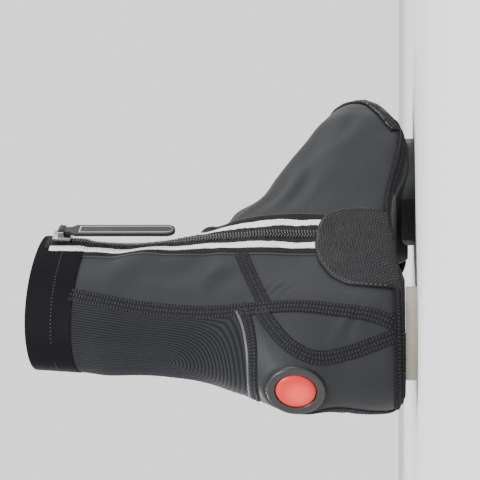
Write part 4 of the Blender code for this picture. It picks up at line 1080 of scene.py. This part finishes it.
# Patch. A stiff coated fabric with rows of small raised scales, stitched over the lower end
# of the zip with one row of thread just inside its edge.
PATCH_EDGE = ((-0.1080, 0.0120), (-0.1085, 0.0260), (-0.1050, 0.0400), (-0.0960, 0.0510), (-0.0820, 0.0585),
              (-0.0660, 0.0615), (-0.0500, 0.0610), (-0.0380, 0.0570), (-0.0310, 0.0480), (-0.0290, 0.0350),
              (-0.0300, 0.0200))
PATCH_BASE = np.array(((-0.1050, 0.0110), (-0.0330, 0.0190)))
SCALE_WIDE = 0.0029
SCALE_TALL = 0.0017
SCALE_RISE = 0.0007
PATCH_COLUMNS = 250
PATCH_ROWS = 150
SCALE_GAP_SHADE = (0.0020, 0.0020, 0.0026)
SCALE_TOP_HIGHLIGHT = (0.0200, 0.0200, 0.0240)

patch_knots = np.array(PATCH_EDGE)
for _ in range(2):
    patch_knots = even_points(patch_knots, 4 * len(patch_knots) - 1)
    patch_knots[1:-1] = (patch_knots[:-2] + 2 * patch_knots[1:-1] + patch_knots[2:]) / 4
knot_run = run_along(patch_knots)


def patch_place(across, high):
    """X and Z of a place on the patch: across along its outline, high from the binding to it."""
    edge = [np.interp(across * knot_run[-1], knot_run, column) for column in patch_knots.T]
    base = PATCH_BASE[0] + (PATCH_BASE[1] - PATCH_BASE[0]) * across
    return base + (edge - base) * high


under_patch = np.array([[on_surface(cloth, "outer", *patch_place(across, high))
                         for high in np.linspace(0.0, 1.0, PATCH_ROWS)]
                        for across in np.linspace(0.0, 1.0, PATCH_COLUMNS)])
patch_outs = np.array([[cloth_normal(point) for point in line] for line in under_patch])
patch_u = under_patch[..., 0] - upper_low.x + 0.15 * under_patch[..., 2]
patch_v = under_patch[..., 2] + 0.0006 * np.sin(under_patch[..., 0] * 400)
scale_row = np.floor(patch_v / SCALE_TALL)
in_row = patch_v / SCALE_TALL - scale_row
in_column = np.mod(patch_u / SCALE_WIDE + 0.5 * np.mod(scale_row, 2), 1.0)
dome = np.clip(1.0 - (2 * abs(in_column - 0.5)) ** 3.5, 0.0, 1.0)
dome *= np.clip(np.sin(math.pi * in_row), 0.0, 1.0) ** 0.6
from_edge = np.linalg.norm(under_patch - under_patch[:, -1:], axis=2) * 1000
scales = dome * np.clip((from_edge - 1.4) / 0.8, 0.0, 1.0)
over_seam = np.clip(from_edge / 0.8, 0.0, 1.0) ** 0.5
patch_top = under_patch + patch_outs * (0.0008 + 0.0010 * over_seam + SCALE_RISE * scales)[..., None]
patch_low = under_patch - patch_outs * 0.0002
patch_look, tree, shader = new_look("scaled fabric", (0.010, 0.010, 0.012), 0.5, Specular_IOR_Level=0.3)
feel = use_group(tree, grain, Nap_Size=2200.0, Cloud_Size=80.0)
# The cloth's first coordinate carries each scale's height, so the scales' tops are painted lighter and the
# gaps between them darker: painted highlight and painted shade, broken up by the cloth grain.
paint(tree, shader, maths(tree, "MULTIPLY", on_cloth(tree)["X"], feel["Cloud"]), SCALE_GAP_SHADE, SCALE_TOP_HIGHLIGHT)
bump(tree, shader, feel["Nap"], 0.0001)
patch = cloth_piece("scaled_patch", patch_top, patch_low, np.stack([scales + 0.2, from_edge], axis=2))
place(patch, patch_look, "scaled_fabric", "zip_patch")
border = [("outer", *patch_place(across, 0.955)) for across in np.linspace(0.05, 0.95, 19)]
patch_row = stitch_row(smooth_path(cloth, border), 0.0, 0.0026, 0.0019)
place(beads("patch_stitches", [patch_row], (0.0018, 0.0007, 0.0006)), thread_look, "scaled_fabric")


# Rear lamp. A dark polished ring with two steps holds a domed salmon-red lens, pushed through
# the heel from inside; the fabric stretches up to the ring. Profiles are radius and depth.
RING_PROFILE = ((0.0170, 0.0082), (RING_RADIUS, 0.0030), (RING_RADIUS, 0.0014), (0.0170, 0.0009),
                (0.0168, 0.0010), (0.0166, 0.0006), (0.0162, 0.0003), (0.0155, 0.0002), (0.0140, 0.0004),
                (0.0126, 0.0007), (0.0122, 0.0010), (0.0120, 0.0016), (0.0119, 0.0050))
LENS_PROFILE = ((0.0117, 0.0056), (0.0117, 0.0018), (0.0114, 0.0010), (0.0106, 0.0004), (0.0085, -0.0003),
                (0.0060, -0.0007), (0.0030, -0.0010), (0.0000, -0.0011))
LENS_EDGE = (0.60, 0.024, 0.020)
LENS_PAINTED_GLOW = (0.88, 0.070, 0.052)


def turned(name, profile):
    """A round piece spun about the lamp's axis."""
    mesh = bpy.data.meshes.new(name)
    points = [(ring_low.x + depth, LAMP_Y, LAMP_Z + radius) for radius, depth in profile]
    mesh.from_pydata(points, [(i, i + 1) for i in range(len(points) - 1)], [])
    piece = new_piece(name, mesh)
    pick(piece)
    bpy.ops.object.mode_set(mode="EDIT")
    bpy.ops.mesh.select_all(action="SELECT")
    bpy.ops.mesh.spin(steps=96, angle=2 * math.pi, center=(ring_low.x, LAMP_Y, LAMP_Z), axis=(1, 0, 0))
    bpy.ops.mesh.select_all(action="SELECT")
    bpy.ops.mesh.remove_doubles(threshold=1e-6)
    bpy.ops.mesh.normals_make_consistent(inside=False)
    bpy.ops.object.mode_set(mode="OBJECT")
    bpy.ops.object.shade_smooth_by_angle(angle=math.radians(38))
    return piece


ring_look, tree, shader = new_look("moulded bezel", (0.020, 0.019, 0.020), 0.38)
handled(tree, shader, 200.0, 0.30, 0.46)
place(turned("lamp_ring", RING_PROFILE), ring_look, "moulded_bezel", "light_bezel")
lens_look, tree, shader = new_look("red lens", (0.72, 0.06, 0.05), 0.35, Specular_IOR_Level=0.35)
# The lens is painted brighter round a spot near its middle: a painted glow, since the lens gives no light of
# its own.
painted_glow_at = (ring_low.x, LAMP_Y + 0.001, LAMP_Z - 0.002)
from_painted_glow = add(tree, "VectorMath", {"operation": "DISTANCE"}, _0=on_piece(tree), _1=painted_glow_at)
painted_glow = ramp(tree, from_painted_glow.outputs["Value"], 0.011, 0.003, kind="SMOOTHSTEP")
paint(tree, shader, painted_glow, LENS_EDGE, LENS_PAINTED_GLOW)
place(turned("lamp_lens", LENS_PROFILE), lens_look, "red_lens", "light_lens")


# Floor, light and camera. A pale studio floor under soft light; the camera keeps the
# photo's angle to the shoe, rolled a quarter turn and stopped at the floor.
CAMERA_AZIMUTH = -56.0
CAMERA_HEIGHT = 0.012
CAMERA_AWAY = 0.885
AIM = Vector((0.0, 0.0, 0.116))
LIT = Vector((0.0, 0.0, 0.1))
WORLD_STRENGTH = 1.45

bpy.ops.mesh.primitive_plane_add(size=12.0, location=(0, 0, 0))
floor = bpy.context.active_object
floor.name = "floor"
floor.data.materials.append(new_look("studio floor", (0.60, 0.60, 0.60), 0.9)[0])

world = bpy.data.worlds.new("studio")
bpy.context.scene.world = world
world.use_nodes = True
world.node_tree.nodes["Background"].inputs["Color"].default_value = (1.0, 1.0, 1.0, 1.0)
world.node_tree.nodes["Background"].inputs["Strength"].default_value = WORLD_STRENGTH

for name, spot, size, power in (("key", (-0.75, -0.55, 1.15), 0.45, 26.0),
                                ("fill", (0.9, -1.1, 0.5), 0.8, 5.0),
                                ("rim", (0.5, 1.0, 1.0), 0.5, 14.0)):
    lamp = bpy.data.lights.new(name, "AREA")
    lamp.shape = "DISK"
    lamp.size = size
    lamp.energy = power
    light = new_piece(name, lamp)
    light.location = spot
    light.rotation_euler = (LIT - Vector(spot)).to_track_quat("-Z", "Y").to_euler()

turn = math.radians(CAMERA_AZIMUTH)
camera = new_piece("camera", bpy.data.cameras.new("camera"))
camera.data.lens = 100.0
camera.data.sensor_width = 36.0
camera.location = (CAMERA_AWAY * math.sin(turn), -CAMERA_AWAY * math.cos(turn), CAMERA_HEIGHT)
backward = (camera.location - AIM).normalized()
image_up = Vector((math.cos(turn), math.sin(turn), 0.0))
image_right = image_up.cross(backward)
camera.rotation_euler = Matrix((image_right, image_up, backward)).transposed().to_euler()
bpy.context.scene.camera = camera
